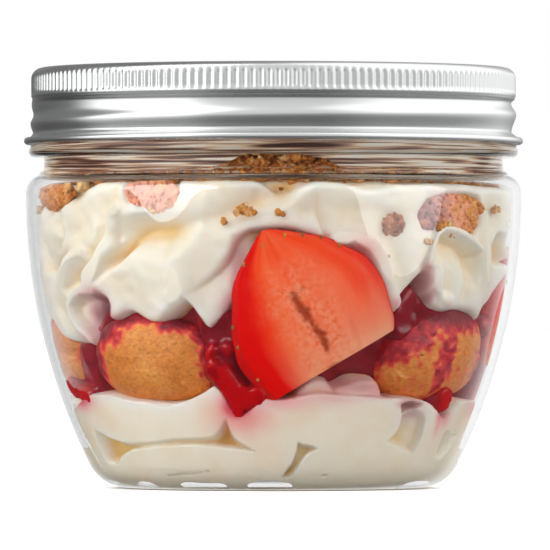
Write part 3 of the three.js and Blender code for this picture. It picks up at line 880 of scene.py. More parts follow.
TOP_STEPS = [
    # the small petal in the shade behind the big one's edge
    ("fold", dict(
        outline=[(-27, 38), (-23, 35.5), (-21, 34.1), (-19, 32.1), (-16.6, 29.6), (-14, 31.2),
                 (-10, 34.1), (-8, 37), (-6, 42), (-3, 47), (0, 50), (-14, 52)],
        level=2.2, curl=0.8, fall=4.0, lean=(0.18, 0.16))),
    # low petal at the left, with the wall of the cavity behind it
    ("fold", dict(outline=[(-68, 28.4), (-55, 27), (-46, 31), (-44, 37), (-60, 39), (-70, 37)],
                  level=2.9, curl=0.6, fall=3.0, lean=(0.36, 0.05))),
    ("fold", dict(outline=[(-84, 31.5), (-78, 30), (-72, 28.3), (-63, 27.1), (-53.5, 27),
                           (-56, 29), (-59, 31), (-60.5, 33), (-61, 35.5), (-66, 39), (-84, 41)],
                  level=0.5, curl=0.9, fall=3.5)),
    ("rope", dict(line=[(-50, 36.6), (-54, 36.8), (-58, 35.8), (-60.4, 34.2), (-60.4, 32),
                        (-57.6, 29.2), (-53.6, 27.4)], radius=0.75, level=0.0)),
    # sheets
    ("fold", dict(outline=LEFT_SHEET, level=0.55, curl=2.6, fall=1.6, soft=0.6)),
    ("rope", dict(line=[(-53, 43.2), (-60, 41.4), (-65, 38), (-69, 34), (-74, 31)],
                  radius=2.0, level=0.1, fall=1.8, soft=0.6)),
    ("fold", dict(outline=MAIN_SHEET, level=0.6, curl=1.5, fall=5.0, soft=0.25, rounds=1)),
    ("rope", dict(line=[(-40.5, 51), (-42, 48.6), (-44, 44.8), (-47, 41.2), (-51, 39)],
                  radius=1.9, level=-0.3, fall=1.6, soft=0.4)),
    # the pocket at the far left and the lobes of the upper left block
    ("dent", dict(place=(-78, 43), wide=3.0, tall=2.4, deep=3.2)),
    ("dent", dict(place=(-56.5, 39.6), wide=2.6, tall=1.6, deep=2.4, turn=35)),
    ("crease", dict(line=[(-66, 52.5), (-63.5, 50), (-63, 46), (-66, 44)], width=0.9, deep=0.9)),
    ("dent", dict(place=(-56, 47), wide=2.6, tall=2.0, deep=0.9)),
    # the bowl of the big swirl
    ("dent", dict(place=(-33, 46.6), wide=6.8, tall=2.6, deep=2.5, turn=6)),
    ("dent", dict(place=(-24.5, 47.4), wide=5.0, tall=2.8, deep=1.9, turn=25)),
    ("dent", dict(place=(-40.6, 43.0), wide=4.4, tall=1.0, deep=3.2, turn=36)),
    ("dent", dict(place=(-34, 50.6), wide=5.0, tall=1.0, deep=-0.8)),
    ("dent", dict(place=(-13, 49.6), wide=5.0, tall=2.2, deep=1.3, turn=20)),
    # where the lumps of crumb sit
    ("hollow", dict(outline=[(-38.4, 58.4), (-38.2, 53.4), (-36.6, 52), (-33, 51.8), (-30.6, 50.4),
                             (-27, 51.8), (-23.6, 52.4), (-22.6, 54.4), (-23.4, 58.4)],
                    deep=2.6, soft=1.0, rounds=1)),
    ("hollow", dict(outline=[(35.4, 50.4), (37.4, 47.4), (40.6, 46.9), (43, 48.8), (46.4, 48.6),
                             (50, 47), (54, 45.6), (58, 47), (60, 50), (58.6, 53.4), (53, 54.4),
                             (46, 54.5), (40, 53.4)], deep=2.6, soft=1.2, rounds=1)),
    # valley and crest under the crumbs in the middle
    ("dent", dict(place=(-3.5, 52.6), wide=4.6, tall=2.6, deep=2.6, turn=30)),
    ("dent", dict(place=(2.5, 54.2), wide=2.6, tall=2.2, deep=2.2, turn=40)),
    ("crease", dict(line=[(10.4, 53), (10.6, 50), (12.4, 46.2)], width=0.8, deep=1.2)),
    ("dent", dict(place=(7.4, 50.4), wide=2.2, tall=3.0, deep=1.3, turn=-10)),
    ("dent", dict(place=(20, 50.6), wide=5.5, tall=2.2, deep=0.9)),
    ("dent", dict(place=(29.3, 48.4), wide=3.0, tall=2.7, deep=1.3)),
    # the lip that rolls out beside the strawberry
    ("dent", dict(place=(29.6, 43.6), wide=1.7, tall=4.2, deep=1.2, turn=24)),
    ("rope", dict(line=[(15.5, 46), (19.5, 46.2), (23.9, 44.8), (26.6, 42.2), (28.8, 38.8),
                        (31.6, 34.4)], radius=1.5, level=-0.3, fall=1.6, soft=0.25)),
    # the fold at the right: an arched rim over a shaded hollow, and soft upright rolls under it
    ("dent", dict(place=(38.4, 41.6), wide=1.5, tall=3.4, deep=1.0, turn=-16)),
    ("hood", dict(line=[(40.2, 42.4), (41, 44.6), (42, 46.6), (44.5, 47.6), (47, 47.4), (51, 46.7),
                        (55, 45.4), (58.2, 44.5), (60.4, 42.6)], deep=3.2, reach=8.0)),
    ("rope", dict(line=[(40.4, 41.4), (41, 44.6), (42, 46.7), (44.5, 47.8), (47, 47.6), (51, 46.9),
                        (55, 45.6), (59, 44)], radius=0.55, level=-0.1, fall=1.8, soft=0.2)),
    ("rope", dict(line=[(43.2, 40), (43.8, 37.2), (46, 35.4), (49, 34.8)], radius=1.3, level=-0.1,
                  fall=2.6, soft=0.4)),
    ("dent", dict(place=(47, 38), wide=1.7, tall=3.4, deep=1.1)),
    ("dent", dict(place=(56, 37.2), wide=1.6, tall=3.4, deep=1.2, turn=-12)),
    ("rope", dict(line=[(60.6, 50), (61.4, 45), (62.6, 40), (64, 36)], radius=1.8, level=-0.2,
                  fall=0.8, soft=0.6)),
    ("hollow", dict(outline=[(64.4, 41.2), (65.4, 44.5), (68.4, 47.6), (73, 47), (79, 44.6),
                             (83, 41.2), (73, 40.8)], deep=3.4, soft=1.3)),
    ("dent", dict(place=(78, 37.6), wide=3.0, tall=1.6, deep=1.2, turn=20)),
    ("dent", dict(place=(80, 50), wide=2.4, tall=4.0, deep=1.8, turn=10)),
    ("dent", dict(place=(92, 45), wide=5.0, tall=2.4, deep=2.4, turn=-20)),
]
# Spots on the cream: painted mauve shade, partly the sauce behind it, and pink where the sauce
# has bled and in the painted shade beside the strawberry: place, width, height, how mauve and how
# pink.
TOP_TINTS = [
    ((-49.5, 31.5), 3.6, 4.6, 1.0), ((-53, 32), 2.6, 4.0, 0.6), ((-44.8, 32.4), 0.9, 1.4, 0.35),
    ((-8.5, 39), 2.2, 6.0, 0.4), ((-10.5, 33.5), 2.2, 3.0, 0.5), ((-13, 38.5), 3.0, 4.0, 0.1),
    ((-17, 34.4), 3.0, 2.4, 0.08), ((21.5, 42.6), 2.6, 3.2, 0.2, 0.3),
    ((31.5, 34.2), 1.2, 1.2, 0.2, 0.2),
    ((55, 31.5), 5.0, 1.6, 0.4), ((-56, 28), 3.5, 1.6, 0.25), ((39.8, 38), 1.4, 3.6, 0.55),
    ((41.5, 35), 1.6, 2.4, 0.45), ((-2, 54), 4.0, 1.6, 0.12), ((46, 54.6), 6.0, 1.4, 0.14),
    ((37, 50), 2.4, 2.4, 0.16), ((100, 42), 4.0, 2.0, 0.4), ((96, 38), 5.0, 4.0, 0.2, 0.2),
]

# The bottom cream: pressed flat on the wall, with creases where its rolls meet.
LOW_SHEET = [
    (-92, 16.6), (-84, 17), (-77, 15.6), (-72, 15.4), (-66, 16.6), (-61, 17.9), (-50, 17.6),
    (-44, 16.8), (-37, 16.3), (-29, 16), (-24, 16.7), (-19, 18.2), (-16, 19.4), (-14, 18.4),
    (-12.6, 16), (-9.6, 13.6), (-6.5, 14.8), (-3, 17), (1, 16.7), (5, 17), (12, 18.1), (18, 17.7),
    (26, 17.4), (33, 17.1), (37, 17.1), (44, 16.9), (49, 16), (53, 14.6), (57, 13.2), (60, 15),
    (63, 16.7), (77, 16.2), (88, 17), (98, 17.4),
]
LOW_STEPS = [
    ("fold", dict(outline=[(3, 14), (7, 19), (11, 20.6), (15, 20.2), (18, 18.8), (24, 20.4),
                           (31, 20.4), (34, 17), (30, 14)], level=2.0, curl=1.2, fall=2.4)),
    ("crease", dict(line=[(16.6, 20.4), (17.4, 18.4), (19, 17.2)], width=0.5, deep=1.2)),
    ("fold", dict(outline=[*LOW_SHEET, (98, 0.4), (-92, 0.4)], level=-0.7, curl=1.3, fall=5.0,
                  rounds=1)),
    ("hollow", dict(outline=[(-64, 12.4), (-58, 10.6), (-49, 9.2), (-37, 9.5), (-29, 10.3),
                             (-18, 10.6), (-15, 12.6), (-13.6, 15.4), (-12.4, 13), (-11, 10),
                             (-5, 8), (0, 6.4), (-9, 7.1), (-19, 7.7), (-30, 8), (-42, 7.6),
                             (-50, 6.9), (-55, 5.6), (-57, 4.2), (-65, 4.4), (-66, 8)],
                    deep=3.6, soft=2.2)),
    ("hollow", dict(outline=[(-42, 3.4), (-36, 3.6), (-30, 3.8), (-24, 4.0), (-17, 4.7),
                             (-20, 3.7), (-28, 3.1), (-38, 3.0)], deep=1.6, soft=0.5)),
    ("hollow", dict(outline=[(6.4, 10.8), (8, 8.9), (11, 8.8), (14.5, 7.9), (10.5, 6.8),
                             (8.6, 4.8), (6, 2.8), (1.8, 2.6), (5.6, 5.6), (6.8, 8)],
                    deep=2.4, soft=0.8, rounds=1)),
    ("hollow", dict(outline=[(13.6, 2.8), (15.6, 3.6), (18, 3.6), (21, 2.8)], deep=1.4, soft=0.4)),
    ("crease", dict(line=[(15, 11.2), (17, 10.9)], width=0.25, deep=0.4)),
    ("hollow", dict(outline=[(37.4, 15.4), (41, 16.2), (47, 15.6), (50, 14), (50.5, 9), (48.5, 5.2),
                             (45, 5.6), (39, 7.6), (32, 8.8), (38, 11.4)], deep=2.4, soft=2.6)),
    ("hollow", dict(outline=[(37, 16.2), (40, 16.6), (46.5, 16.4), (44, 15.2), (38.6, 13.6)],
                    deep=3.0, soft=0.8, rounds=1)),
    ("hollow", dict(outline=[(58.5, 12), (64, 12.4), (70, 11), (68, 7), (63, 5), (58, 6.4)],
                    deep=1.6, soft=2.4)),
    ("dent", dict(place=(64, 9.4), wide=1.6, tall=1.8, deep=-1.2)),
    ("crease", dict(line=[(-75, 15), (-74, 10), (-70, 5)], width=0.5, deep=0.9)),
    ("crease", dict(line=[(-47, 16.4), (-38, 15.2), (-30, 15.8)], width=0.5, deep=0.6)),
    ("dent", dict(place=(88, 8), wide=5, tall=3.0, deep=2.2, turn=20)),
]
# Spots on the bottom cream: painted mauve shade in its pockets and under its top edge, partly
# sauce, and pink where the sauce has bled: place, width, height, how mauve and how pink.
LOW_TINTS = [
    ((-10, 15.4), 3.6, 2.6, 0.0, 0.9), ((-9, 14), 6.0, 3.4, 0.0, 0.4),
    ((2, 16.8), 7.0, 2.0, 0.0, 0.3), ((16, 17.6), 8.0, 2.0, 0.2, 0.14),
    ((24, 19.4), 9.0, 1.6, 0.4), ((57, 13.4), 2.4, 1.8, 0.1, 0.3),
    ((54.7, 15.4), 1.5, 2.6, 0.0, 0.8), ((54.7, 12.4), 1.0, 2.2, 0.0, 0.3),
    ((41, 16), 3.4, 1.0, 0.6), ((43, 14), 4.0, 2.0, 0.25), ((-66, 16.8), 5.0, 1.8, 0.2, 0.6),
    ((76, 15.6), 6.0, 2.6, 0.1, 0.3), ((30, 17.6), 6.0, 0.9, 0.35), ((33, 19), 5.0, 1.8, 0.3, 0.2),
]

# The sauce, which runs out to the wall between the pieces.
SAUCE_STEPS = [
    ("fold", dict(outline=[(-68, 17), (-61, 16), (-57, 16.4), (-57.6, 20), (-56, 24), (-53, 27),
                           (-57, 29), (-64, 28), (-68, 23)], level=1.7, curl=1.8, fall=1.6)),
    ("rope", dict(line=[(-71, 19.4), (-69, 18.2), (-61, 17.2)], radius=1.7, level=-0.3, fall=1.2)),
    ("rope", dict(line=[(-56, 27.6), (-50, 31), (-44, 32)], radius=1.8, level=2.6, fall=1.0)),
    ("fold", dict(outline=[(-20, 33), (-13, 34.5), (-9, 31), (-9, 24), (-12, 19), (-17, 20.5),
                           (-18, 26), (-21, 30)], level=1.9, curl=1.6, fall=1.2)),
    ("rope", dict(line=[(-15.4, 22), (-12.6, 19.6), (-9.6, 17.4)], radius=3.0, level=-0.5, fall=0.7,
                  soft=1.0)),
    ("rope", dict(line=[(-9.6, 16.8), (-4.4, 17.2)], radius=2.4, level=-0.6, fall=0.8, soft=1.0)),
    ("rope", dict(line=[(-10.4, 15.6), (-10, 14.4)], radius=1.4, level=-0.4, fall=1.2, soft=0.8)),
    ("rope", dict(line=[(-17, 24.6), (-16, 25.6)], radius=1.5, level=0.1, fall=0.9, soft=0.8)),
    ("rope", dict(line=[(-12.4, 25.8)], radius=1.8, level=0.5, fall=0.8, soft=0.8)),
    ("dent", dict(place=(-13.6, 23.4), wide=0.8, tall=0.8, deep=0.8)),
    ("fold", dict(outline=[(31, 33), (37, 38), (42, 35), (52, 33), (62, 31), (66, 28), (60, 26),
                           (50, 27), (40, 25), (34, 27)], level=2.2, curl=1.6, fall=1.0)),
    ("rope", dict(line=[(54.7, 16.7)], radius=2.6, level=-1.1, fall=4.0)),
    ("rope", dict(line=[(70, 30), (76, 26), (80, 20), (82, 16)], radius=2.4, level=0.1, fall=1.4)),
    ("dent", dict(place=(22, 20), wide=4.0, tall=3.0, deep=2.0)),
    ("rope", dict(line=[(106, 16.8), (107, 24), (104, 31)], radius=3.0, level=0.2, fall=1.4)),
]


# ---- Operators


class FillingPiece:
    """What the operators that make the filling share."""

    bl_options = {"REGISTER", "UNDO"}

    def settings(self, context):
        """The sizes of the jar and the filling, and the colours."""
        scene = context.scene
        return scene.dessert_jar, scene.dessert_filling, scene.dessert_colours


class DESSERT_OT_stage(bpy.types.Operator):
    """Set up the pale table, the soft studio light and the camera"""

    bl_idname = "dessert.stage"
    bl_label = "Stage, light and camera"
    bl_options = {"REGISTER", "UNDO"}

    def execute(self, context):
        scene = context.scene
        mesh = bpy.data.meshes.new("table")
        corners = [(-1, -1), (1, -1), (1, 1), (-1, 1)]
        corners = [(x * TABLE_HALF, y * TABLE_HALF, TABLE_TOP) for x, y in corners]
        mesh.from_pydata(corners, [], [(0, 1, 2, 3)])
        mesh.materials.append(studio_board())
        table = bpy.data.objects.new("table", mesh)
        scene.collection.objects.link(table)
        # the table blocks no light and throws none back, so the jar is lit as if it hung free
        table.visible_diffuse = table.visible_glossy = table.visible_transmission = False
        table.visible_shadow = False
        self.sky(scene)
        for name, place, size, watts in LAMPS:
            data = bpy.data.lights.new(name, "AREA")
            data.shape, data.size, data.energy = "DISK", size, watts
            lamp = bpy.data.objects.new(name, data)
            lamp.location = place
            way = Vector(LAMPS_AIM) - Vector(place)
            lamp.rotation_euler = way.to_track_quat("-Z", "Y").to_euler()
            # the lid and the wet food mirror the walls alone
            lamp.visible_glossy = False
            scene.collection.objects.link(lamp)
        data = bpy.data.cameras.new("camera")
        data.sensor_width, data.lens = CAMERA_SENSOR, CAMERA_LENS
        data.clip_end = CAMERA_REACH
        camera = bpy.data.objects.new("camera", data)
        camera.location = CAMERA_AT
        rise = math.atan2(CAMERA_AIM - CAMERA_AT[2], -CAMERA_AT[1])
        camera.rotation_euler = (math.pi / 2 + rise, 0, 0)
        scene.collection.objects.link(camera)
        scene.camera = camera
        scene.view_settings.view_transform = "Standard"
        return {"FINISHED"}

    def sky(self, scene):
        """Soft white walls, dimmer behind the jar and behind the camera. Metal and clear plastic
        mirror walls of their own, as flags and white boards would make them in a studio."""
        world = bpy.data.worlds.new("studio")
        world.use_nodes = True
        tree = world.node_tree
        place = add(tree, "ShaderNodeTexCoord").outputs["Generated"]
        right, back, up = add(tree, "ShaderNodeSeparateXYZ", {0: place}).outputs
        front = add(tree, "ShaderNodeMath", {0: back, 1: -1.0}, operation="MULTIPLY")
        turn = add(tree, "ShaderNodeMath", {0: right, 1: front}, operation="ARCTAN2")
        turn = {"Value": turn, "From Min": -math.pi, "From Max": math.pi}
        # brightness at angles from -180 to 180 degrees round the jar, 0 being behind the camera
        bands = [
            (-180, 0.5), (-172, 0.4), (-158, 0.3), (-108, 0.25), (-94, 3.0), (-44, 3.0),
            (-32, 1.25), (30, 1.25), (56, 2.3), (142, 2.3), (162, 0.9), (180, 0.5),
        ]
        walls = add(
            tree,
            "ShaderNodeValToRGB",
            {"Fac": add(tree, "ShaderNodeMapRange", turn)},
            [((angle + 180) / TURN, value / STUDIO_LIGHT) for angle, value in bands],
        )
        # brighter from above, darker from below; the lid mirrors them much dimmer
        level = add(tree, "ShaderNodeMapRange", {"Value": up, "From Min": -1.0})
        lit, on_lid = (
            add(
                tree,
                "ShaderNodeMix",
                {FACTOR: 1.0, A: walls, B: add(tree, "ShaderNodeValToRGB", {"Fac": level}, rise)},
                data_type="RGBA",
                blend_type="MULTIPLY",
            )
            for rise in (
                [(0.0, 0.84), (0.44, 0.84), (0.56, 0.9), (0.75, 1.0)],
                [(0.0, 0.06), (0.3, 0.13), (0.44, 0.34), (0.5, 0.48), (0.57, 0.6), (1.0, 0.66)],
            )
        )
        # What the clear plastic mirrors: a dark flag in front, so that no haze lies on the jar,
        # and white at its two edges. What is seen through its edges is white too. The light that
        # falls on the filling stays as it is.
        white = 1 / STUDIO_LIGHT
        right_behind = (0.17, 0.985, 0.0)
        behind = {0: place, 1: right_behind}
        behind = add(tree, "ShaderNodeVectorMath", behind, operation="DOT_PRODUCT")
        outside = add(
            tree,
            "ShaderNodeValToRGB",
            {"Fac": behind},
            [(0.0, 0.004), (0.8, 0.02), (0.95, white)],
        )
        through = add(
            tree, "ShaderNodeValToRGB", {"Fac": back}, [(0.0, 0.02), (0.5, 0.03), (0.75, white)]
        )
        # which rays see which: those off metal, those through or off plastic, those off it
        ray = add(tree, "ShaderNodeLightPath").outputs
        less = {"operation": "SUBTRACT", "use_clamp": True}
        metal = {0: ray["Is Glossy Ray"], 1: ray["Is Singular Ray"]}
        metal = add(tree, "ShaderNodeMath", metal, **less)
        plastic = {0: ray["Is Singular Ray"], 1: ray["Diffuse Depth"]}
        plastic = add(tree, "ShaderNodeMath", plastic, **less)
        mirrored_once = {0: plastic, 1: ray["Transmission Depth"]}
        mirrored_once = add(tree, "ShaderNodeMath", mirrored_once, **less)
        shade = lit
        for rays, seen in (
            (metal, on_lid),
            (plastic, through),
            (mirrored_once, outside),
            (ray["Is Camera Ray"], rgba(white)),
        ):
            seen = {FACTOR: rays, A: shade, B: seen}
            shade = add(tree, "ShaderNodeMix", seen, data_type="RGBA")
        feed(tree, tree.nodes["Background"], {"Color": shade, "Strength": STUDIO_LIGHT})
        scene.world = world


class DESSERT_OT_jar(bpy.types.Operator):
    """Make the clear jar as one wall, turned in fine steps"""

    bl_idname = "dessert.jar"
    bl_label = "Clear jar"
    bl_options = {"REGISTER", "UNDO"}

    def execute(self, context):
        sizes = context.scene.dessert_jar
        points, faces = turned(Wall(sizes).profile(sizes), JAR_STEPS)
        new_piece("clear_jar", points, faces, clear_pet(), ("jar",), sharp=40)
        return {"FINISHED"}


class DESSERT_OT_lid(bpy.types.Operator):
    """Make the aluminium lid with its knurl, rolled thread and curled foot"""

    bl_idname = "dessert.lid"
    bl_label = "Aluminium lid"
    bl_options = {"REGISTER", "UNDO"}

    def execute(self, context):
        s = context.scene.dessert_lid
        top, foot, radius, groove, curl = map(
            mm, (s.top, s.foot, s.radius, s.groove_radius, s.curl_radius)
        )
        edge, sheet, roll, pressed = 2.0, 0.4, 0.65, top - 0.5
        outer = [
            [[0, pressed], [14, pressed], [30, pressed], [38.4, pressed]],
            arc(39.2, top + 0.3, 0.8, -80, -35, 3),
            arc(41.0, top - 0.6, 0.6, 130, 90, 3),
            arc(radius - edge, top - edge, edge, 90, 0, 10),
            [[radius, z] for z in np.linspace(top - 2.3, foot + 8.9, 12)],
            [[radius - 0.1, foot + 8.75]],
        ]
        # under the knurl the wall goes in to the groove and out again to the curl
        threaded = np.linspace(foot + 8.6, foot + 1.45, 30)
        base = groove + 0.75 * ease(threaded, foot + 7.7, foot + 8.5)
        base += 1.0 * ease(-threaded, -foot - 2.3, -foot - 1.4)
        outer.append(np.column_stack((base, threaded)))
        outer.append(arc(curl, foot + roll, roll, 100, -160, 14))
        inner = np.array([
            [groove - sheet, foot + 1.3],
            [groove - sheet, foot + 7.4],
            [radius - sheet, foot + 8.6],
            [radius - sheet, top - edge],
            [radius - edge, top - sheet - 0.1],
            [40.0, pressed - sheet],
            [0, pressed - sheet],
        ])
        profile = np.vstack([np.asarray(p, float) for p in outer] + [inner])
        columns = s.rib_count * 6
        angle = np.arange(columns) * TURN / columns
        r = np.repeat(profile[1:-1, 0, None], columns, axis=1)
        z = profile[1:-1, 1, None]
        rows = len(profile) - 2
        outside = (np.arange(rows) < rows - len(inner) + 1)[:, None]
        # the knurl: fine upright ribs that fade out on the top edge
        band = ease(z, foot + 9.2, foot + 9.8) * ease(-z, 0.9 - top, 1.9 - top)
        rib = 0.5 - 0.5 * np.cos(np.radians(angle) * s.rib_count)
        r = r - outside * (r > radius - edge) * band * mm(s.rib_depth) * rib
        # the rolled thread: a ridge that climbs round the lid for a turn and a half
        tread = ease(z, foot + 1.5, foot + 2.2) * ease(-z, -foot - 8.4, -foot - 7.9)
        for lap in (-1, 0, 1):
            total = apart(angle, 0) + lap * TURN
            height = foot + 4.7 + mm(s.pitch) * total / TURN
            ends = ease(total, -275, -215) * ease(-total, -315, -255)
            ridge = 1.0 * np.exp(-(((z - height) / np.where(z > height, 1.2, 2.1)) ** 2))
            r = np.maximum(r, r + outside * tread * ends * ridge)
        rings = round_points(angle[None, :], r, z)
        points, faces = skin_of(rings, (0, 0, profile[0, 1]), (0, 0, profile[-1, 1]))
        new_piece("aluminium_lid", points, faces, rolled_aluminium(), ("lid",),
                  sharp=50)
        return {"FINISHED"}


class DESSERT_OT_bottom_cream(FillingPiece, bpy.types.Operator):
    """Make the bottom layer of whipped cream, pressed on the wall in soft rolls"""

    bl_idname = "dessert.bottom_cream"
    bl_label = "Bottom cream"

    def execute(self, context):
        jar, filling, colours = self.settings(context)
        wall = Wall(jar)
        # rows of points, closer together near the base
        heights = np.concatenate((1.61 + 5 * np.linspace(0, 1, 26) ** 1.5, np.arange(7, 22.6, 0.3)))
        skin = Skin(720, heights, mm(filling.cream_back))
        carve(skin, LOW_STEPS)
        skin.depth *= ease(heights, 1.9, 3.4)[:, None]
        for place, *spot in LOW_TINTS:
            skin.tint(place, *spot)
            skin.tint((BACK - place[0], place[1]), *spot)
        make_layer("bottom_cream_fill", skin, wall, filling, whipped_cream(colours),
                   under=[(5, 2.55), (12, 2.55), (17, 2.5), (19.5, 2.4), (21.5, 1.85), (23, 1.56),
                          (26, 1.56)],
                   over=[(32, 19.6), (20, 19.0)], nodes=("bottom_cream",),
                   swell=0.2, deep=(0.3, 3.2))
        return {"FINISHED"}


class DESSERT_OT_top_cream(FillingPiece, bpy.types.Operator):
    """Make the piped top cream with its folds, hollows and hanging lip"""

    bl_idname = "dessert.top_cream"
    bl_label = "Top cream"

    def execute(self, context):
        jar, filling, colours = self.settings(context)
        wall = Wall(jar)
        # the cream lies nearer the wall towards the neck
        heights = np.arange(26, 57.9, 0.36)
        back = mm(filling.cream_back) * (1 - 0.62 * ease(heights, 45, 51))
        skin = Skin(840, heights, back[:, None])
        carve(skin, TOP_STEPS)
        for place, *spot in TOP_TINTS:
            skin.tint(place, *spot)
            skin.tint((BACK - place[0], place[1]), *spot)
        make_layer("top_cream_fill", skin, wall, filling, whipped_cream(colours),
                   under=[(20, 31.5), (32, 28.0)], over=[(34, 57.5), (16, 57.0)],
                   nodes=("top_cream",), swell=0.36, deep=(2.2, 6.0))
        return {"FINISHED"}


def softened(depth, passes):
    """A skin's depth, smoothed over its neighbours."""
    for _ in range(passes):
        depth = (depth + np.roll(depth, 1, 1) + np.roll(depth, -1, 1)) / 3
        below, above = np.vstack((depth[:1], depth[:-1])), np.vstack((depth[1:], depth[-1:]))
        depth = (depth + below + above) / 3
    return depth


def make_layer(
    name,
    skin,
    wall,
    filling,
    material,
    under,
    over,
    nodes,
    swell=0.0,
    deep=(0.8, 4.4),
    ahead=1.0,
):
    """Makes a skin uneven, closes it with rings under and over it and makes the layer. deep is
    the range of depth over which a hollow takes its full painted shade."""
    turn = np.radians(skin.angle[None, :])
    places = (WALL_R * np.sin(turn), WALL_R * np.cos(turn), skin.height[:, None])
    places = np.stack(np.broadcast_arrays(*places), axis=-1)
    skin.depth += 0.22 * wobble(places, 4.5, filling.seed) * ease(skin.depth, -0.1, 0.6)
    skin.depth += 0.07 * wobble(places, 1.4, filling.seed + 1) * ease(skin.depth, 0.0, 0.5)
    skin.depth += swell * wobble(places, 7.0, filling.seed + 2)
    rings = skin.points(wall, filling, ahead)
    low = [round_points(skin.angle, r, np.full(skin.angle.shape, z)) for r, z in under]
    high = [round_points(skin.angle, r, np.full(skin.angle.shape, z)) for r, z in over]
    rows = np.concatenate((np.stack(low), rings, np.stack(high)))
    points, faces = skin_of(rows, (0, 0, under[0][1]), (0, 0, over[-1][1]))

    def spread(values, fill):
        """A value at every point of the layer, with one fill under and over the skin."""
        below = np.full((len(low), values.shape[1]), fill)
        above = np.full((len(high), values.shape[1]), fill)
        return np.append(np.concatenate((below, values, above)).ravel(), (fill, fill))

    # painted light and shade from the shape: hollows and valleys take a warm painted shade, crests
    # a painted highlight
    face = np.maximum(skin.depth, 0)
    valley = face - softened(face, 40)
    pocket = np.clip(ease(face, *deep) + 0.3 * np.clip(valley, -0.5, 1), 0, 1)
    values = {
        "pocket": spread(pocket, 0.3),
        # painted mauve shade, partly the sauce behind the cream
        "stain_and_shade": spread(np.clip(skin.stain_and_shade, 0, 1), 0.0),
        "bleed": spread(np.clip(skin.bleed, 0, 1), 0.0),
        # painted highlight on the crests
        "crest": spread(np.clip(-valley, 0, 1), 0.0),
        # painted shade of the sauce: darker the deeper it lies
        "lit_near_wall": spread(1 - ease(skin.depth, 0.0, 2.6), 0.0),
    }
    new_piece(name, points, faces, material, nodes, values)


class DESSERT_OT_sauce(FillingPiece, bpy.types.Operator):
    """Make the berry sauce that fills the middle and runs out to the wall"""

    bl_idname = "dessert.sauce"
    bl_label = "Berry sauce"

    def execute(self, context):
        jar, filling, colours = self.settings(context)
        wall = Wall(jar)
        skin = Skin(600, np.arange(12.5, 47.5, 0.42), mm(filling.sauce_back))
        carve(skin, SAUCE_STEPS)
        make_layer("berry_sauce_fill", skin, wall, filling, berry_sauce(colours),
                   under=[(20, 14.5), (32, 13.0)], over=[(33, 47.6), (20, 47.0)],
                   nodes=("berry_sauce",), ahead=1.5)
        return {"FINISHED"}


# Sponge fingers: the middle on the wall, then length, height and depth.
SPONGES = [
    ("biscuit_1", -37.0, 24.4, 31.5, 17.5, 14), ("biscuit_2", 54.0, 25.0, 33.0, 18.5, 14),
    ("biscuit_3", 136.0, 25.2, 32.0, 18.0, 14), ("biscuit_4", 226.0, 24.8, 30.0, 17.5, 14),
    ("biscuit_5", 278.0, 25.4, 26.0, 18.0, 14),
]
# Where the sauce has soaked in, and along the sponges' tops under the cream painted shade too:
# angle, height, width, height and strength.
SOAKED = [
    (-57.5, 24, 6.0, 9.0, 1.0), (-52, 30, 8.0, 4.6, 1.0), (-44, 31.6, 6.0, 2.6, 0.95),
    (-36, 32, 7.0, 2.0, 0.85), (-25, 31.6, 7.0, 3.0, 0.95), (-13, 26, 6.4, 9.0, 1.0),
    (-18, 29.6, 4.0, 3.4, 0.95), (31, 27, 7.0, 5.4, 0.78), (39.5, 28.6, 5.4, 3.8, 0.78),
    (50.5, 24, 3.0, 9.0, 0.66), (52, 33, 18.0, 4.6, 1.0), (73, 25, 6.4, 9.0, 0.8),
    (29, 20, 3.4, 4.0, 0.6), (48, 21, 18.0, 9.0, 0.2), (118, 30, 6.0, 6.0, 0.9),
    (136, 31, 9.0, 3.0, 0.9), (150, 24, 3.0, 6.0, 0.8), (206, 28, 5.0, 6.0, 0.9),
    (226, 32, 8.0, 2.2, 0.8), (246, 25, 4.0, 6.0, 0.9), (262, 26, 4.0, 7.0, 0.9),
    (278, 32, 9.0, 2.5, 0.7),
]


